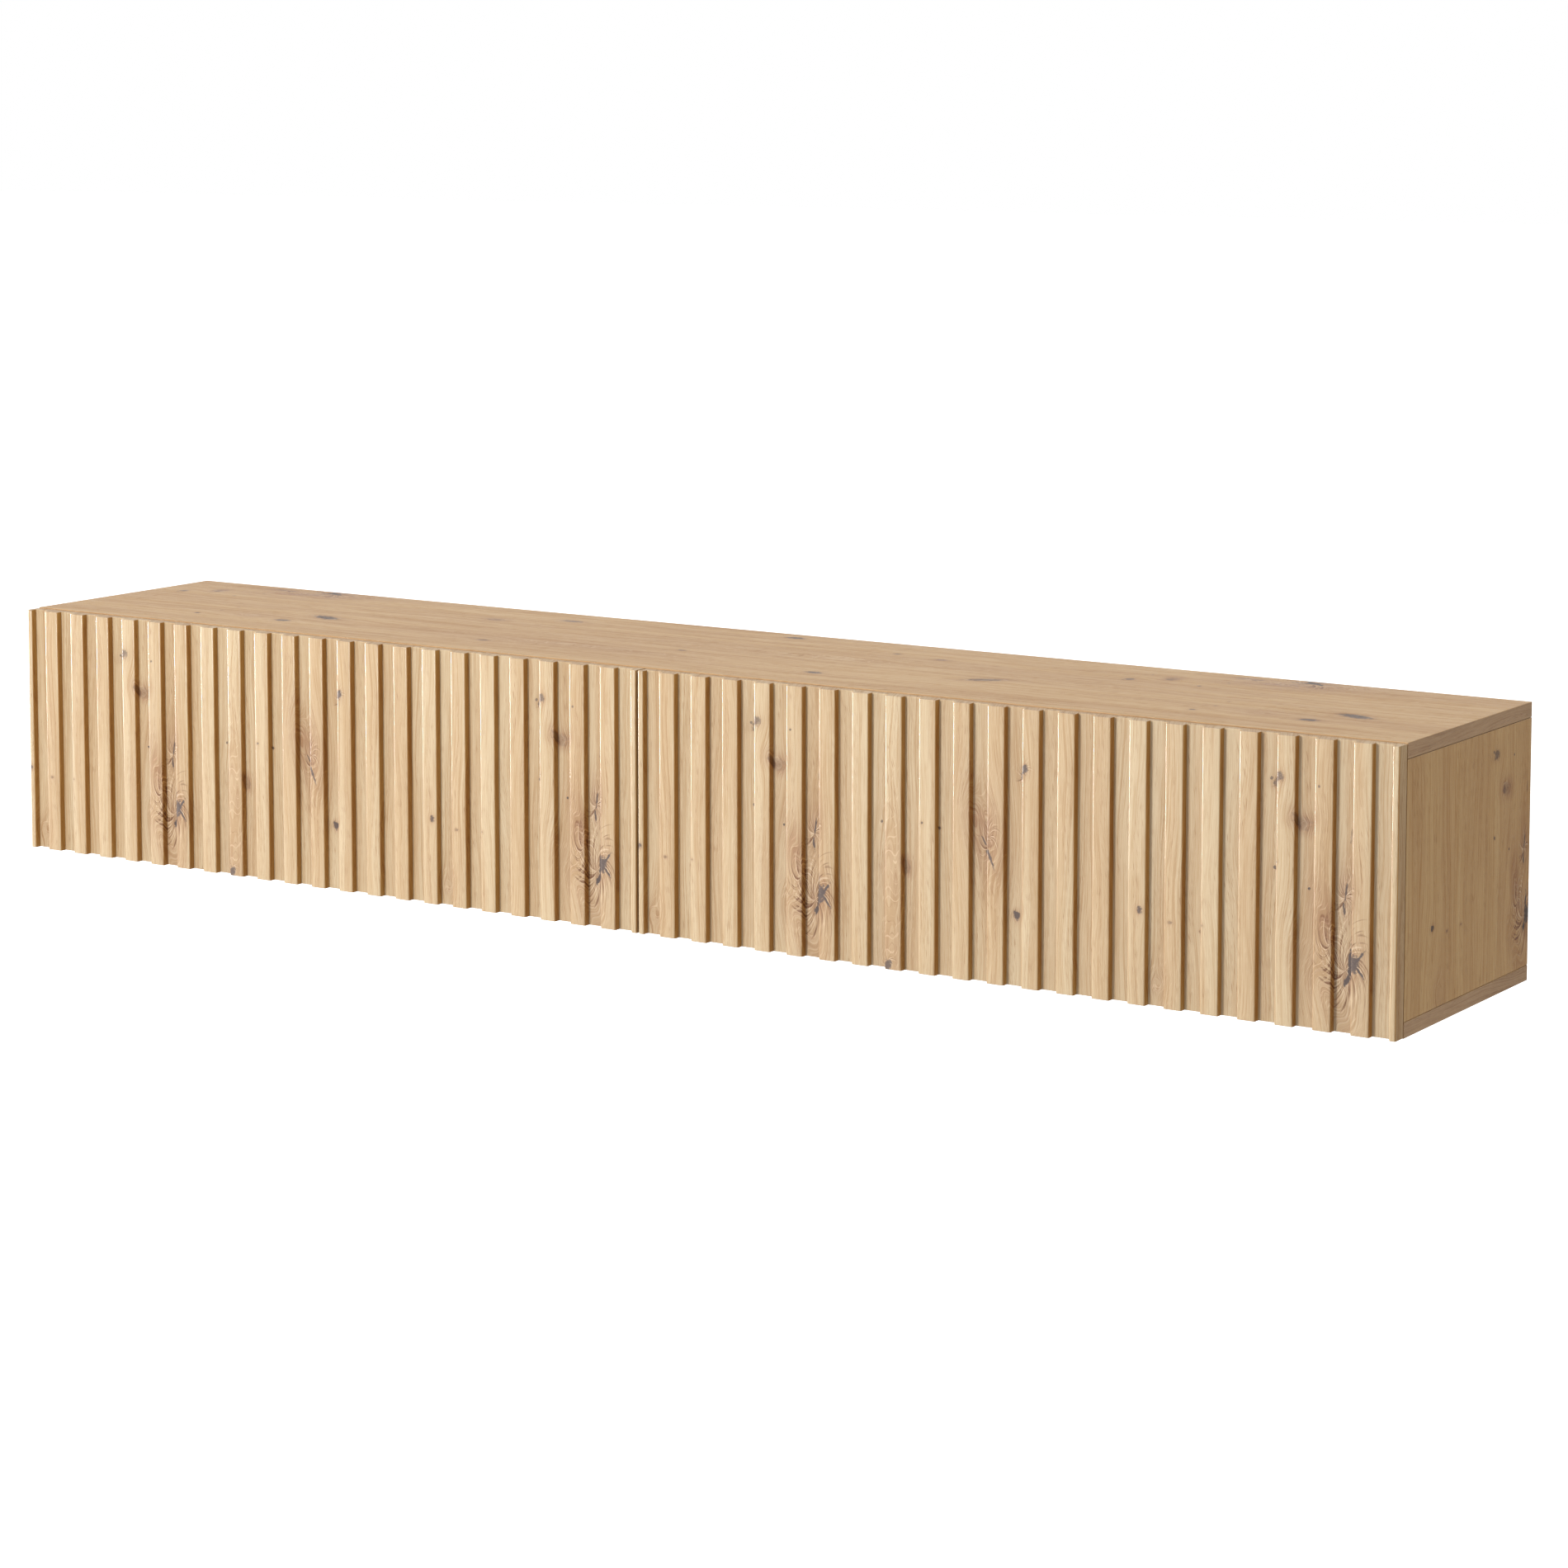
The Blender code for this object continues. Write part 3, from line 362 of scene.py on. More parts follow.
# Knots that only the long boards reach
FAR_KNOTS = [
    (54, -60, 9, 2.2, 0.3, 0.85, 0.6), (6, -30, 6, 1.6, 0.0, 0.85, 0.6),
    (223, 717, 5.5, 2.2, 0.0, 0.85, 0.6), (2, 557, 5.5, 1.7, 0.0, 0.85, 0.6),
    (177, 554, 3.2, 1.4, 0.0, 0.7, 0.4), (164, 489, 4.5, 1.5, 0.0, 0.3, 0.8),
    (64, 771, 3.2, 1.6, 0.0, 0.65, 0.4), (60, 375, 9, 2.0, -0.5, 0.6, 0.6),
    (195, 1014, 5.5, 2.6, 0.0, 0.65, 0.6), (4, 1007, 4.2, 2.0, 0.0, 0.55, 0.5),
    (156, 1099, 6.5, 1.8, 0.0, 0.25, 0.7), (110, 640, 16, 9.0, 0.0, 0.0, 0.25),
    (30, 880, 14, 9.0, 0.0, 0.0, 0.25), (260, 480, 16, 8.0, 0.0, 0.0, 0.22),
]
# Fans of curved lines round burls and knots: across, along, reach, stretch, twist, strength
BURL_FANS = [
    (228, 70, 27, 1.7, 0.9, 0.65), (212, 88, 15, 2.2, 1.4, 0.60),
    (227, 142, 9, 2.4, 0.3, 0.75), (442, 152, 15, 1.9, 1.2, 0.50),
    (154, 249, 8, 1.1, 0.3, 0.40), (320, 10, 10, 1.4, 0.4, 0.50),
    (483, 228, 10, 1.4, 0.4, 0.50), (178, 211, 10, 0.9, 0.3, 0.35),
    (54, -60, 15, 1.7, 0.6, 0.55),
]
knot_group = make_knot_group()
fan_group = make_fan_group()
grain_group = make_grain_group()


def make_oak_decor(name, knots, fans, tones, painted_wall_shade=None, lacquer=0.0):
    """The printed paper under a clear satin skin: knots first, then the grain that flows round them. With a
    painted_wall_shade, painted shade darkens the colour and the lacquer fades out where the piece's
    attribute "wall" rises from 0."""
    material, tree, shader = new_material(name)
    print_place = add_node(tree, "UVMap", uv_map="print").outputs[0]
    across_place, along_place = add_node(tree, "SeparateXYZ", [print_place]).outputs[:2]
    ragged = calc(tree, "SUBTRACT", noise(tree, print_place, 260.0, 2.0, noise_dimensions="2D"), 0.5)
    shift = halo = core = red = fan = 0.0
    for across, along, radius, stretch, lean, darkness, redness in knots:
        knot = add_node(tree, "Group", {
            "Across": across_place, "Along": along_place, "Ragged": ragged,
            "Centre Across": across * MM, "Centre Along": along * MM, "Radius": radius * MM,
            "Stretch": stretch, "Lean": lean, "Darkness": darkness,
        }, node_tree=knot_group).outputs
        shift = calc(tree, "ADD", knot["Shift"], shift)
        halo = calc(tree, "MAXIMUM", knot["Halo"], halo)
        core = calc(tree, "MAXIMUM", knot["Core"], core)
        red = calc(tree, "MAXIMUM", calc(tree, "MULTIPLY", knot["Halo"], redness), red)
    for across, along, reach, stretch, twist, strength in fans:
        lines = add_node(tree, "Group", {
            "Across": across_place, "Along": along_place,
            "Centre Across": across * MM, "Centre Along": along * MM, "Reach": reach * MM,
            "Stretch": stretch, "Twist": twist, "Strength": strength,
        }, node_tree=fan_group).outputs
        fan = calc(tree, "ADD", lines["Fan"], fan)
    grain = add_node(tree, "Group", {
        "Across": across_place, "Along": along_place, "Shift": shift, "Halo": halo, "Fan": fan,
        "Core": core, "Red": red, **{label: (*tone, 1.0) for label, tone in tones.items()},
    }, node_tree=grain_group).outputs
    colour = grain["Colour"]
    if painted_wall_shade:
        wall = add_node(tree, "Attribute", attribute_name="wall").outputs["Fac"]
        # Painted shade: the grooves' walls, and more faintly the flap's ends, top and bottom, are darkened
        # and browned in the colour itself
        colour = tint(tree, wall, colour, (*painted_wall_shade, 1.0), "MULTIPLY")
        tree.links.new(ramp(tree, wall, 0.0, FLAP_END, lacquer, 0.0), shader.inputs["Coat Weight"])
    tree.links.new(colour, shader.inputs["Base Color"])
    tree.links.new(grain["Roughness"], shader.inputs["Roughness"])
    bump = add_node(tree, "Bump", {"Height": grain["Height"], "Strength": 0.60, "Distance": 0.20 * MM})
    tree.links.new(bump.outputs[0], shader.inputs["Normal"])
    shader.inputs["Specular IOR Level"].default_value = 0.2
    shader.inputs["Coat Roughness"].default_value = 0.25
    return material


# ---------------------------------------------------------------------------------------------
# Carcass boards
# 16 mm chipboard, laminated on both faces and banded on the edges that show: two long boards run
# over the two sides and the divider. The rear edges are left raw. Corners are eased to 0.6 mm.

BOARD_EASE = 0.6 * MM
X_AXIS, Y_AXIS, Z_AXIS = 0, 1, 2
SURFACE, BAND, RAW = 0, 1, 2
# Painted shade: the boards' tones are browner and more saturated than the front's, the same oak paper drawn
# as it looks away from the strong front light
BOARD_TONES = {
    "Light Tone": (0.423, 0.265, 0.110), "Warm Tone": (0.386, 0.230, 0.090),
    "Ring Tone": (0.82, 0.72, 0.60), "Pore Tone": (0.62, 0.48, 0.36), "Knot Tone": (0.045, 0.027, 0.020),
}
EDGE_TONES = {
    "Light Tone": (0.335, 0.206, 0.104), "Warm Tone": (0.300, 0.180, 0.088),
    "Ring Tone": (0.78, 0.72, 0.66), "Pore Tone": (0.62, 0.50, 0.40), "Knot Tone": (0.055, 0.034, 0.026),
}


def make_chipboard():
    """Raw chipboard: pressed wood chips, from pale to brown, with dark gaps among them."""
    material, tree, shader = new_material("raw_chipboard")
    place = add_node(tree, "TexCoord").outputs["Object"]
    spread = add_node(tree, "Mapping", {"Vector": place, "Scale": (0.35, 1.0, 1.0)}).outputs[0]
    chips = add_node(tree, "TexVoronoi", {"Vector": spread, "Scale": 900.0, "Randomness": 1.0})
    shade = add_node(tree, "SeparateColor", [chips.outputs["Color"]]).outputs[0]
    colour = tint(tree, shade, (0.42, 0.29, 0.17, 1.0), (0.24, 0.15, 0.085, 1.0))
    coarse = noise(tree, spread, 260.0, 3.0)
    colour = tint(tree, ramp(tree, coarse, 0.55, 0.70), colour, (0.12, 0.075, 0.045, 1.0))
    tree.links.new(colour, shader.inputs["Base Color"])
    shader.inputs["Roughness"].default_value = 0.85
    bump = add_node(tree, "Bump", {"Height": coarse, "Strength": 0.6, "Distance": 0.3 * MM})
    tree.links.new(bump.outputs[0], shader.inputs["Normal"])
    return material


def whole_copy(node, name):
    """A copy of a CAD node with its loose triangles merged into whole faces."""
    builder = bmesh.new()
    builder.from_mesh(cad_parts[node].data)
    bmesh.ops.remove_doubles(builder, verts=builder.verts, dist=0.001 * MM)
    flat = math.radians(0.5)
    bmesh.ops.dissolve_limit(builder, angle_limit=flat, verts=builder.verts, edges=builder.edges)
    mesh = bpy.data.meshes.new(name)
    builder.to_mesh(mesh)
    builder.free()
    mesh.materials.clear()
    return mesh


def show(mesh, body, slot, *replaced, smooth=35.0):
    """Puts a finished mesh into the scene, on its body, in place of the CAD nodes that it stands for."""
    piece = bpy.data.objects.new(mesh.name, mesh)
    scene.collection.objects.link(piece)
    mesh.shade_smooth()
    mesh.set_sharp_from_angle(angle=math.radians(smooth))
    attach(piece, body)
    if replaced:
        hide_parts(*replaced)
    return piece


def read(items, field, width=3, kind=float):
    """One field of a mesh's points, edges, corners or faces, as an array with a row for each."""
    values = np.empty(len(items) * width, kind)
    items.foreach_get(field, values)
    return values.reshape(-1, width)


def ease_box_edges(piece, radius):
    """Rounds only the edges that lie on the piece's outer box, by bevel weights on those edges."""
    mesh = piece.data
    points = read(mesh.vertices, "co")
    low, high = points.min(0), points.max(0)
    ends = read(mesh.edges, "vertices", 2, int)
    on_face = np.isclose(points, low, atol=0.01 * MM) | np.isclose(points, high, atol=0.01 * MM)
    weights = ((on_face[ends[:, 0]] & on_face[ends[:, 1]]).sum(1) >= 2).astype(float)
    mesh.attributes.new("bevel_weight_edge", "FLOAT", "EDGE").data.foreach_set("value", weights)
    bevel = piece.modifiers.new("eased edges", "BEVEL")
    bevel.limit_method = "WEIGHT"
    bevel.width = radius
    bevel.segments = 3
    bevel.harden_normals = True


def lay_print(mesh, grain, across_start, along_start, across_scale, along_sign):
    """Lays the print on each flat face: along the grain axis, and across it by the face's other axis.

    On the two ends of the grain axis the print runs along the board's depth, as an edge band does.
    """
    points = read(mesh.vertices, "co")[read(mesh.loops, "vertex_index", 1, int).ravel()]
    corners = read(mesh.polygons, "loop_total", 1, int).ravel()
    facing = np.repeat(np.abs(read(mesh.polygons, "normal")).argmax(1), corners)
    along_axis = np.where(facing == grain, Y_AXIS, grain)
    across_axis = X_AXIS + Y_AXIS + Z_AXIS - facing - along_axis
    rows = np.arange(len(points))
    across = points[rows, across_axis] * across_scale + across_start
    along = points[rows, along_axis] * along_sign + along_start
    layer = mesh.uv_layers.new(name="print")
    layer.data.foreach_set("uv", np.stack([across, along], 1).ravel())


board_decor = make_oak_decor("oak_decor_board", STAR_BURL + FACE_KNOTS + FAR_KNOTS, BURL_FANS, BOARD_TONES)
edge_decor = make_oak_decor("oak_decor_edge", [], [], EDGE_TONES)
chipboard = make_chipboard()
# Per board: grain axis, where the print starts across and along it, its scale across, its direction along
BOARD_PRINTS = {
    "top_panel": (X_AXIS, -0.091 - 1.05 * cad_low.y, -0.608, 1.05, -1.0),
    "bottom_panel": (X_AXIS, 0.120 - cad_low.y, -0.300, 1.0, -1.0),
    "left_side_panel": (Z_AXIS, -0.083 - cad_low.y, -cad_low.z, 1.0, 1.0),
    "right_side_panel": (Z_AXIS, -0.083 - cad_low.y, -cad_low.z, 1.0, 1.0),
    "centre_divider": (Z_AXIS, 0.250 - cad_low.y, -cad_low.z, 1.0, 1.0),
}
for board, (grain, *placing) in BOARD_PRINTS.items():
    mesh = whole_copy(board, f"{board}_laminated")
    for finish in (board_decor, edge_decor, chipboard):
        mesh.materials.append(finish)
    normals = read(mesh.polygons, "normal")
    finishes = np.full(len(normals), SURFACE)
    finishes[np.abs(normals[:, grain]) > 0.9] = BAND
    finishes[normals[:, Y_AXIS] < -0.9] = BAND
    finishes[normals[:, Y_AXIS] > 0.9] = RAW
    mesh.polygons.foreach_set("material_index", finishes)
    lay_print(mesh, grain, *placing)
    ease_box_edges(show(mesh, "root", "oak_decor_board", board), BOARD_EASE)

# ---------------------------------------------------------------------------------------------
# Back panels
# 3 mm hard fibreboard, slid into grooves: lacquered cream on the inside and bare brown behind,
# with a sawn round hole for cables and a corner notch for the wall hook.


def make_fibreboard():
    """Pressed fibres: a fine felt of short threads, cream where it is lacquered and brown where bare."""
    material, tree, shader = new_material("back_fibreboard")
    place = add_node(tree, "TexCoord").outputs["Object"]
    felt = add_node(tree, "TexNoise", {"Vector": place, "Scale": 900.0, "Detail": 4.0, "Roughness": 0.7})
    felt = felt.outputs[0]
    cloud = noise(tree, place, 22.0, 3.0)
    bare = tint(tree, ramp(tree, felt, 0.35, 0.68), (0.135, 0.078, 0.042, 1.0), (0.235, 0.145, 0.082, 1.0))
    bare = tint(tree, ramp(tree, cloud, 0.35, 0.75), bare, (0.80, 0.74, 0.68, 1.0), "MULTIPLY")
    cream = tint(tree, ramp(tree, felt, 0.30, 0.70), (0.500, 0.405, 0.285, 1.0), (0.560, 0.465, 0.340, 1.0))
    depth = add_node(tree, "SeparateXYZ", [place]).outputs[1]
    low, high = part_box("left_back_panel")
    inside = ramp(tree, depth, high.y - 0.4 * MM, low.y + 0.3 * MM)
    tree.links.new(tint(tree, inside, bare, cream), shader.inputs["Base Color"])
    tree.links.new(ramp(tree, felt, 0.2, 0.8, 0.45, 0.75), shader.inputs["Roughness"])
    bump = add_node(tree, "Bump", {"Height": felt, "Strength": 0.3, "Distance": 0.15 * MM})
    tree.links.new(bump.outputs[0], shader.inputs["Normal"])
    return material


fibreboard = make_fibreboard()
for side in ("left", "right"):
    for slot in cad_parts[f"{side}_back_panel"].material_slots:
        slot.material = fibreboard

# ---------------------------------------------------------------------------------------------
# Metal and plastic finishes
# The fittings are nickel-plated die-cast zinc, bright zinc-plated steel and moulded grey plastic.
# All of them are handled in fitting, so each has faint smudges and fine scratches.


def make_handling_group():
    """Marks of handling: soft smudges, fine crossing scratches and the grit of a cast or moulded skin."""
    results = dict.fromkeys(("Smudge", "Scratch", "Grit"), "Float")
    group, given, made = start_group("handling marks", {"Place": "Vector"}, results)
    place = given["Place"]
    group.links.new(ramp(group, noise(group, place, 90.0, 3.0), 0.35, 0.70), made["Smudge"])
    group.links.new(noise(group, place, 2400.0, 2.0), made["Grit"])
    scratches = 0.0
    for turn in (0.5, 2.1):
        turned = add_node(group, "Mapping", {
            "Vector": place, "Rotation": (turn, turn * 0.7, turn * 1.3), "Scale": (60.0, 2600.0, 2600.0),
        }).outputs[0]
        thin = ramp(group, noise(group, turned, 1.0, 1.0), 0.70, 0.80)
        scratches = calc(group, "MAXIMUM", thin, scratches)
    group.links.new(scratches, made["Scratch"])
    return group


handling_group = make_handling_group()


def make_fitting_finish(name, bright, dull, metallic, roughness, grit_depth):
    """A fitting's skin: its colour dulls where it is smudged and brightens along scratches."""
    material, tree, shader = new_material(name)
    place = add_node(tree, "TexCoord").outputs["Object"]
    marks = add_node(tree, "Group", {"Place": place}, node_tree=handling_group).outputs
    colour = tint(tree, marks["Smudge"], (*bright, 1.0), (*dull, 1.0))
    colour = tint(tree, calc(tree, "MULTIPLY", marks["Scratch"], 0.4), colour, (*bright, 1.0), "SCREEN")
    tree.links.new(colour, shader.inputs["Base Color"])
    rough = calc(tree, "MULTIPLY_ADD", marks["Smudge"], 0.14, roughness)
    rough = calc(tree, "MULTIPLY_ADD", marks["Scratch"], 0.10, rough)
    tree.links.new(rough, shader.inputs["Roughness"])
    shader.inputs["Metallic"].default_value = metallic
    relief = calc(tree, "MULTIPLY_ADD", marks["Scratch"], -0.5, marks["Grit"])
    bump = add_node(tree, "Bump", {"Height": relief, "Strength": 0.25, "Distance": grit_depth})
    tree.links.new(bump.outputs[0], shader.inputs["Normal"])
    return material


zinc = make_fitting_finish("zinc_fitting", (0.66, 0.65, 0.63), (0.50, 0.49, 0.48), 1.0, 0.28, 0.05 * MM)
steel = make_fitting_finish("steel", (0.60, 0.61, 0.63), (0.46, 0.47, 0.49), 1.0, 0.22, 0.03 * MM)
plastic = make_fitting_finish(
    "grey_plastic", (0.085, 0.087, 0.092), (0.060, 0.061, 0.065), 0.0, 0.42, 0.08 * MM
)
FINISHES = {"zinc_fitting": zinc, "steel": steel, "grey_plastic": plastic}
# A screw head's rings as shares of its radius; the first one is sunk by HEAD_SEAT
HEAD_RINGS = (1.0, 1.0, 0.97, 0.90, 0.80, 0.70, 0.60, 0.52, 0.44, 0.36, 0.28, 0.20, 0.14, 0.08, 0.02)
HEAD_SEAT = 0.2 * MM
HEAD_POINTS = 48
CROSS_ARM = 0.55


def finished_fitting(node, body, slot, ending, radius):
    """A fitting with its corners over 30 degrees rounded, as casting, pressing or moulding leaves them."""
    mesh = whole_copy(node, f"{node}_{ending}")
    mesh.materials.append(FINISHES[slot])
    piece = show(mesh, body, slot, node)
    bevel = piece.modifiers.new("rounded corners", "BEVEL")
    bevel.limit_method = "ANGLE"
    bevel.angle_limit = math.radians(30)
    bevel.width = radius
    bevel.segments = 3
    bevel.harden_normals = True


def skins(name, stacks):
    """Closed skins over stacks of rings, each stack given as rings x points x 3.

    Quads join each ring to the next, and the first and the last ring of a stack are filled. The points go
    round anticlockwise as seen from the last ring's side.
    """
    faces, start = [], 0
    for rings in stacks:
        index = np.arange(rings.shape[0] * rings.shape[1]).reshape(rings.shape[:2]) + start
        here, there = index[:-1], index[1:]
        quads = np.stack([here, np.roll(here, -1, 1), np.roll(there, -1, 1), there], -1).reshape(-1, 4)
        faces += [*quads.tolist(), index[0, ::-1].tolist(), index[-1].tolist()]
        start += index.size
    mesh = bpy.data.meshes.new(name)
    mesh.from_pydata(np.concatenate([rings.reshape(-1, 3) for rings in stacks]).tolist(), [], faces)
    return mesh


def cross_head(start, outward, radius, dome, recess, bar=0.14):
    """The rings of a screw or cam head that is turned round the unit vector outward.

    At a distance r from its axis the height is dome * (1 - (r/R)^4), less the recess where the point is in
    a cross: its smaller coordinate is under bar * R there, and its larger under CROSS_ARM * R.
    """
    outward = np.array(outward, float)
    helper = np.array([1.0, 0.0, 0.0]) if outward[Z_AXIS] else np.array([0.0, 0.0, 1.0])
    right = np.cross(helper, outward)
    up = np.cross(outward, right)
    shares = np.array(HEAD_RINGS)[:, None]
    angles = np.linspace(0, 2 * math.pi, HEAD_POINTS, endpoint=False)
    x, y = shares * np.cos(angles), shares * np.sin(angles)
    smaller, larger = np.minimum(np.abs(x), np.abs(y)), np.maximum(np.abs(x), np.abs(y))
    in_bar = np.clip((bar - smaller) / 0.05 + 0.5, 0, 1)
    in_arm = np.clip((CROSS_ARM - larger) / 0.10 + 0.5, 0, 1)
    height = dome * (1 - shares**4) - recess * in_bar * in_arm
    height[0] = -HEAD_SEAT
    level = radius * (x[:, :, None] * right + y[:, :, None] * up)
    return np.array(start) + level + height[:, :, None] * outward


# ---------------------------------------------------------------------------------------------
# Cam connectors
# Each upright is drawn to the top and the bottom board by zinc cams turned in 15 mm holes: the cam
# shows as a round face with a cross recess, 24 mm from the upright's end, and the bolt stands inside.

CAM_INSET = 0.2 * MM
CAM_RIM = 0.35 * MM
CAM_RECESS = 1.6 * MM
CAM_BAR = 0.10
cam_faces = []
for column, outward in (("left", (1, 0, 0)), ("centre", (-1, 0, 0)), ("right", (-1, 0, 0))):
    for level in ("top", "bottom"):
        for row in ("front", "rear"):
            node = f"{column}_{level}_{row}_cam_connector"
            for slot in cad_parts[node].material_slots:
                slot.material = zinc
            low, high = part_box(node)
            radius = (high.y - low.y) / 2
            face_x = high.x if outward[0] > 0 else low.x
            cam_z = low.z + radius if level == "top" else high.z - radius
            start = (face_x, (low.y + high.y) / 2, cam_z)
            cam_faces.append(cross_head(start, outward, radius - CAM_INSET, CAM_RIM, CAM_RECESS, CAM_BAR))
mesh = skins("cam_connector_faces", cam_faces)
mesh.materials.append(zinc)
show(mesh, "root", "zinc_fitting")

# ---------------------------------------------------------------------------------------------
# Wall hangers
# A zinc housing screwed into each upper rear corner holds a steel hook, which a long screw raises
# and lowers. The hook hangs on a bent steel plate that is screwed to the wall.

SMALL_HEAD = (3.2 * MM, 0.9 * MM, 1.3 * MM)
WALL_HEAD = (4.2 * MM, 1.6 * MM, 1.8 * MM)
# The long screw's own head
SCREW_CHAMFER = 0.1 * MM
SCREW_DOME = 0.3 * MM
SCREW_RECESS = 1.0 * MM
# The housing's screws: in from its front and rear edges, and up as shares of its height
FRONT_INSET, REAR_INSET = 7 * MM, 8 * MM
LOW_SHARE, HIGH_SHARE = 0.14, 0.86
PLATE_THICKNESS = 2.0 * MM
PLATE_SCREW_RISE = 9 * MM
PLATE_SCREW_OFFSET = 12 * MM


def fit_screws(name, body, places, outward, head=SMALL_HEAD):
    """Cross-recessed steel screws on a body, as one piece. A head is its radius, dome and recess."""
    mesh = skins(name, [cross_head(place, outward, *head) for place in places])
    mesh.materials.append(steel)
    show(mesh, body, "steel")


for side, outer in (("left", -1), ("right", 1)):
    finished_fitting(f"{side}_hanger_housing", "root", "zinc_fitting", "cast", 1.2 * MM)
    finished_fitting(f"{side}_hanger_hook", f"{side}_hanger_hook", "steel", "pressed", 0.5 * MM)
    finished_fitting(f"{side}_wall_plate", f"{side}_hanger_hook", "steel", "bent", 0.4 * MM)
    finished_fitting(f"{side}_hanger_screw", f"{side}_hanger_screw", "steel", "turned", 0.3 * MM)

    low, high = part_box(f"{side}_hanger_housing")
    inner_x = low.x if outer > 0 else high.x
    low_z, high_z = (low.z + share * (high.z - low.z) for share in (LOW_SHARE, HIGH_SHARE))
    front_y, rear_y = low.y + FRONT_INSET, high.y - REAR_INSET
    places = [(inner_x, front_y, low_z), (inner_x, front_y, high_z), (inner_x, rear_y, low_z)]
    fit_screws(f"{side}_hanger_fixing_screws", "root", places, (-outer, 0, 0))

    low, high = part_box(f"{side}_hanger_screw")
    place = ((low.x + high.x) / 2, low.y, (low.z + high.z) / 2)
    head = ((high.x - low.x) / 2 - SCREW_CHAMFER, SCREW_DOME, SCREW_RECESS)
    fit_screws(f"{side}_hanger_screw_cross", f"{side}_hanger_screw", [place], (0, -1, 0), head)

    low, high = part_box(f"{side}_wall_plate")
    middle, front_y, screw_z = (low.x + high.x) / 2, high.y - PLATE_THICKNESS, low.z + PLATE_SCREW_RISE
    places = [(middle + offset, front_y, screw_z) for offset in (-PLATE_SCREW_OFFSET, PLATE_SCREW_OFFSET)]
    fit_screws(f"{side}_wall_screws", f"{side}_hanger_hook", places, (0, -1, 0), WALL_HEAD)

# ---------------------------------------------------------------------------------------------
# Flap hinges
# A steel arm reaches from a winged zinc plate on the bottom board into a zinc cup set in the flap's
# lower edge, behind a rib, and turns there on a steel pin. Two screws each hold plate, arm and cup.

ARM_HEAD = (3.6 * MM, 0.6 * MM, 1.4 * MM)
ARM_SCREWS = (9 * MM, 26 * MM)
WING_OFFSET = 17 * MM
FLANGE_OFFSET = 9.5 * MM
FLANGE_DROP = 9 * MM

for side in ("left", "right"):
    for place in ("outer", "inner"):
        hinge = f"{side}_{place}_hinge"
        finished_fitting(f"{hinge}_cup", f"{side}_flap", "zinc_fitting", "cast", 0.35 * MM)
        finished_fitting(f"{hinge}_arm", "root", "steel", "pressed", 0.5 * MM)
        finished_fitting(f"{hinge}_plate", "root", "zinc_fitting", "cast", 0.6 * MM)
        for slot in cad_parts[f"{hinge}_pin"].material_slots:
            slot.material = steel

        low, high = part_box(f"{hinge}_plate")
        middle_x, middle_y, plate_z = (low.x + high.x) / 2, (low.y + high.y) / 2, high.z
        low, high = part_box(f"{hinge}_arm")
        heads = [
            cross_head((middle_x + offset, middle_y, plate_z), (0, 0, 1), *SMALL_HEAD)
            for offset in (-WING_OFFSET, WING_OFFSET)
        ]
        heads += [
            cross_head((middle_x, high.y - back, high.z), (0, 0, 1), *ARM_HEAD) for back in ARM_SCREWS
        ]
        mesh = skins(f"{hinge}_screws", heads)
        mesh.materials.append(steel)
        show(mesh, "root", "steel")

        low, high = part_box(f"{hinge}_cup")
        screw_z = high.z - FLANGE_DROP
        places = [(middle_x + offset, high.y, screw_z) for offset in (-FLANGE_OFFSET, FLANGE_OFFSET)]
        fit_screws(f"{hinge}_flange_screws", f"{side}_flap", places, (0, 1, 0))

# ---------------------------------------------------------------------------------------------
# Flap stays
# A steel rod turns on a zinc bracket behind the flap and slides through a plastic brake block,
# which turns on a zinc base screwed to the side panel. The braked rod lets the flap down slowly.

BASE_PLATE = 2.5 * MM
BASE_SCREW_OFFSET = 18 * MM
BRACKET_FOOT = 2.3 * MM
BRACKET_SCREW_INSET = 8 * MM
BRACKET_SCREW_OFFSET = 11 * MM

for side, outer in (("left", -1), ("right", 1)):
    finished_fitting(f"{side}_stay_base", "root", "zinc_fitting", "cast", 0.8 * MM)
    finished_fitting(f"{side}_stay_block", f"{side}_stay_block", "grey_plastic", "moulded", 0.9 * MM)
    finished_fitting(f"{side}_stay_bracket", f"{side}_flap", "zinc_fitting", "cast", 0.6 * MM)
    finished_fitting(f"{side}_stay_rod", f"{side}_stay_rod", "steel", "drawn", 0.4 * MM)

    low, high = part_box(f"{side}_stay_base")
    plate_x = (high.x - BASE_PLATE) if outer > 0 else (low.x + BASE_PLATE)
    middle_y, middle_z = (low.y + high.y) / 2, (low.z + high.z) / 2
    places = [(plate_x, middle_y, middle_z + offset) for offset in (-BASE_SCREW_OFFSET, BASE_SCREW_OFFSET)]
    fit_screws(f"{side}_stay_base_screws", "root", places, (-outer, 0, 0))

    low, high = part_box(f"{side}_stay_bracket")
    inner_x = (low.x + BRACKET_SCREW_INSET) if outer > 0 else (high.x - BRACKET_SCREW_INSET)
    foot_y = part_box(f"{side}_flap")[1].y + BRACKET_FOOT
    middle_z = (low.z + high.z) / 2
    places = [
        (inner_x, foot_y, middle_z + offset) for offset in (-BRACKET_SCREW_OFFSET, BRACKET_SCREW_OFFSET)
    ]
    fit_screws(f"{side}_stay_bracket_screws", f"{side}_flap", places, (0, 1, 0))

# ---------------------------------------------------------------------------------------------
# Push latches
# A moulded housing under the top board holds a sprung plunger, which rests on a small steel plate
# on the flap. A push releases it, and it throws the flap open by 20 mm.

LATCH_SCREW_INSET = 12 * MM

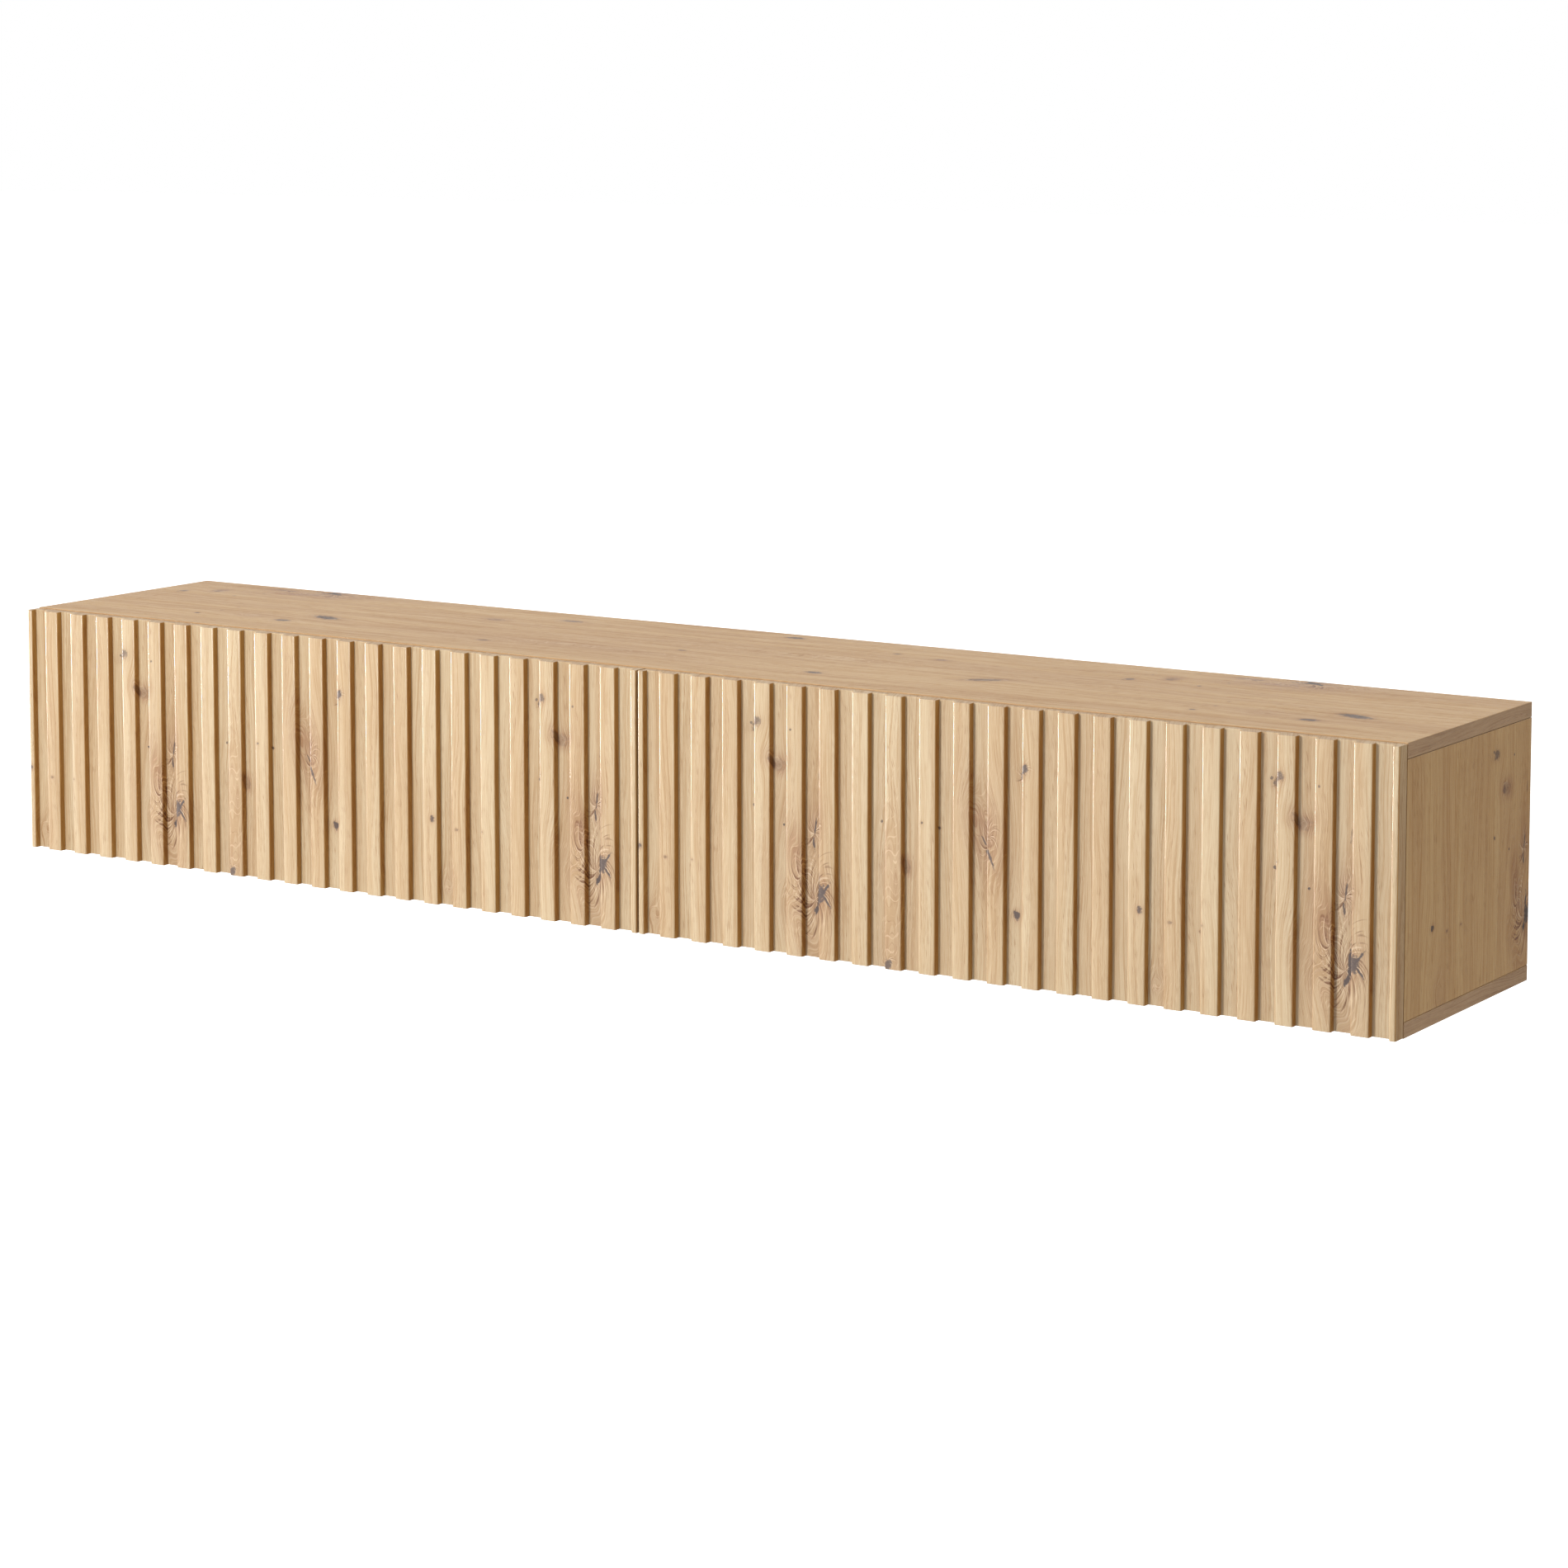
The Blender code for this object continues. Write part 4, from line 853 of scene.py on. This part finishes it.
for side in ("left", "right"):
    finished_fitting(f"{side}_latch_housing", "root", "grey_plastic", "moulded", 1.0 * MM)
    finished_fitting(f"{side}_latch_plunger", f"{side}_latch_plunger", "grey_plastic", "moulded", 0.9 * MM)
    finished_fitting(f"{side}_strike_plate", f"{side}_flap", "steel", "pressed", 0.35 * MM)

    low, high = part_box(f"{side}_latch_housing")
    middle = (low.x + high.x) / 2
    places = [(middle, y, low.z) for y in (low.y + LATCH_SCREW_INSET, high.y - LATCH_SCREW_INSET)]
    fit_screws(f"{side}_latch_screws", "root", places, (0, 0, -1))

# ---------------------------------------------------------------------------------------------
# Flaps
# 18 mm fibreboard, milled with 22 upright grooves 8 mm deep and wrapped in the oak foil, which
# rounds every rib's edge to 1.8 mm. Two notches in the lower edge take the hinge cups.

GROOVES = 22
GROOVE_DEPTH = 8 * MM
RIB_WIDTH = 20 * MM
END_RIB = 7 * MM
RIB_ROUND = 1.8 * MM
GROOVE_FILLET = 0.7 * MM
END_EASE = 0.5 * MM
NOTCH_HALF = 7.3 * MM
NOTCH_HEIGHT = 22.93 * MM
NOTCH_WALL = 3.8 * MM
NOTCH_STEP = 0.05 * MM
# How far the print runs on across the grain for each millimetre down a groove's wall
WALL_RUN = 0.4
# Painted shade: this colour is multiplied into the print on the grooves' walls, and at the FLAP_END share on
# the flap's ends, top and bottom, for the shade that falls deep in the grooves
PAINTED_WALL_SHADE = (0.88, 0.61, 0.27)
LACQUER = 0.6
# Painted light: the front's tones are paler and greyer than the boards', the same oak paper drawn as the
# strong lamp bleaches its lit face
FRONT_TONES = {
    "Light Tone": (0.408, 0.316, 0.199), "Warm Tone": (0.378, 0.274, 0.160),
    "Ring Tone": (0.78, 0.68, 0.56), "Pore Tone": (0.66, 0.52, 0.40), "Knot Tone": (0.062, 0.042, 0.036),
}


def ribbed_line(start, end, front):
    """The flap's front in plan: ribs and grooves by turns, each rib's edge a quarter circle of RIB_ROUND and
    each groove's corner one of GROOVE_FILLET."""
    groove_width = (end - start - 2 * END_RIB - (GROOVES - 1) * RIB_WIDTH) / GROOVES
    floor = front + GROOVE_DEPTH
    turn = np.linspace(0, math.pi / 2, 6)
    small_turn = np.linspace(0, math.pi / 2, 4)
    down_x = -RIB_ROUND * (1 - np.sin(turn))
    down_y = front + RIB_ROUND * (1 - np.cos(turn))
    in_x = GROOVE_FILLET * (1 - np.cos(small_turn))
    in_y = floor - GROOVE_FILLET * (1 - np.sin(small_turn))
    half_x = np.concatenate([down_x, in_x])
    half_y = np.concatenate([down_y, in_y])
    groove_x = np.concatenate([half_x, groove_width - half_x[::-1]])
    groove_y = np.concatenate([half_y, half_y[::-1]])
    lefts = start + END_RIB + np.arange(GROOVES) * (RIB_WIDTH + groove_width)
    x = (lefts[:, None] + groove_x).ravel()
    y = np.tile(groove_y, GROOVES)
    first_x, last_x = start - down_x[::-1], end + down_x
    return np.concatenate([first_x, x, last_x]), np.concatenate([down_y[::-1], y, down_y])


def wall_share(mesh, low, high):
    """How much painted shade each face takes: 1 on the upright walls of the grooves, falling to 0 round each
    rib's edge, and FLAP_END on the flap's two ends, top and bottom."""
    normal_x, _, normal_z = np.abs(read(mesh.polygons, "normal")).T
    centre_x, centre_y, _ = read(mesh.polygons, "center").T
    share = np.clip((normal_x - 0.6) / 0.35, 0, 1) * (centre_y < low.y + GROOVE_DEPTH)
    at_end = (centre_x < low.x + 0.01 * MM) | (centre_x > high.x - 0.01 * MM) | (normal_z > 0.9)
    return np.where(at_end, FLAP_END, share)


def flap_rings(low, high, notches):
    """The flap's rings from bottom to top. The rear line steps forward to NOTCH_WALL behind the front inside
    each notch, on the rings up to NOTCH_HEIGHT. The front of the end rings draws back by up to END_EASE."""
    x, y = ribbed_line(low.x, high.x, low.y)
    half, notch_top = NOTCH_HALF, low.z + NOTCH_HEIGHT
    rear_x, in_notch = [high.x], [False]
    for middle in sorted(notches, reverse=True):
        rear_x += [middle + half + NOTCH_STEP, middle + half, middle - half, middle - half - NOTCH_STEP]
        in_notch += [False, True, True, False]
    rear_x.append(low.x)
    in_notch.append(False)
    rear_y = np.full(len(rear_x), high.y)
    notched_y = np.where(in_notch, low.y + NOTCH_WALL, high.y)
    levels = [
        (low.z, END_EASE, notched_y), (low.z + END_EASE / 3, END_EASE / 3, notched_y),
        (low.z + END_EASE, 0.0, notched_y), (notch_top, 0.0, notched_y),
        (notch_top + NOTCH_STEP, 0.0, rear_y), (high.z - END_EASE, 0.0, rear_y),
        (high.z - END_EASE / 3, END_EASE / 3, rear_y), (high.z, END_EASE, rear_y),
    ]
    rings = []
    for z, back, rear in levels:
        ring_x = np.concatenate([x, rear_x])
        ring_y = np.concatenate([y + back, rear])
        rings.append(np.stack([ring_x, ring_y, np.full(len(ring_x), z)], 1))
    return np.array(rings)


front_decor = make_oak_decor(
    "oak_decor_front", STAR_BURL + FACE_KNOTS, BURL_FANS, FRONT_TONES, PAINTED_WALL_SHADE, LACQUER
)
for side in ("left", "right"):
    low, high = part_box(f"{side}_flap")
    notches = []
    for place in ("outer", "inner"):
        pin_low, pin_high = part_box(f"{side}_{place}_hinge_pin")
        notches.append((pin_low.x + pin_high.x) / 2)
    rings = flap_rings(low, high, notches)
    mesh = skins(f"{side}_flap_ribbed", [rings])
    mesh.materials.append(front_decor)
    points = rings.reshape(-1, 3)[read(mesh.loops, "vertex_index", 1, int).ravel()]
    behind = points[:, 1] - low.y
    print_place = np.stack([points[:, 0] - low.x + WALL_RUN * behind, points[:, 2] - low.z + behind], 1)
    mesh.uv_layers.new(name="print").data.foreach_set("uv", print_place.ravel())
    mesh.attributes.new("wall", "FLOAT", "FACE").data.foreach_set("value", wall_share(mesh, low, high))
    show(mesh, f"{side}_flap", "oak_decor_front", f"{side}_flap", smooth=25.0)
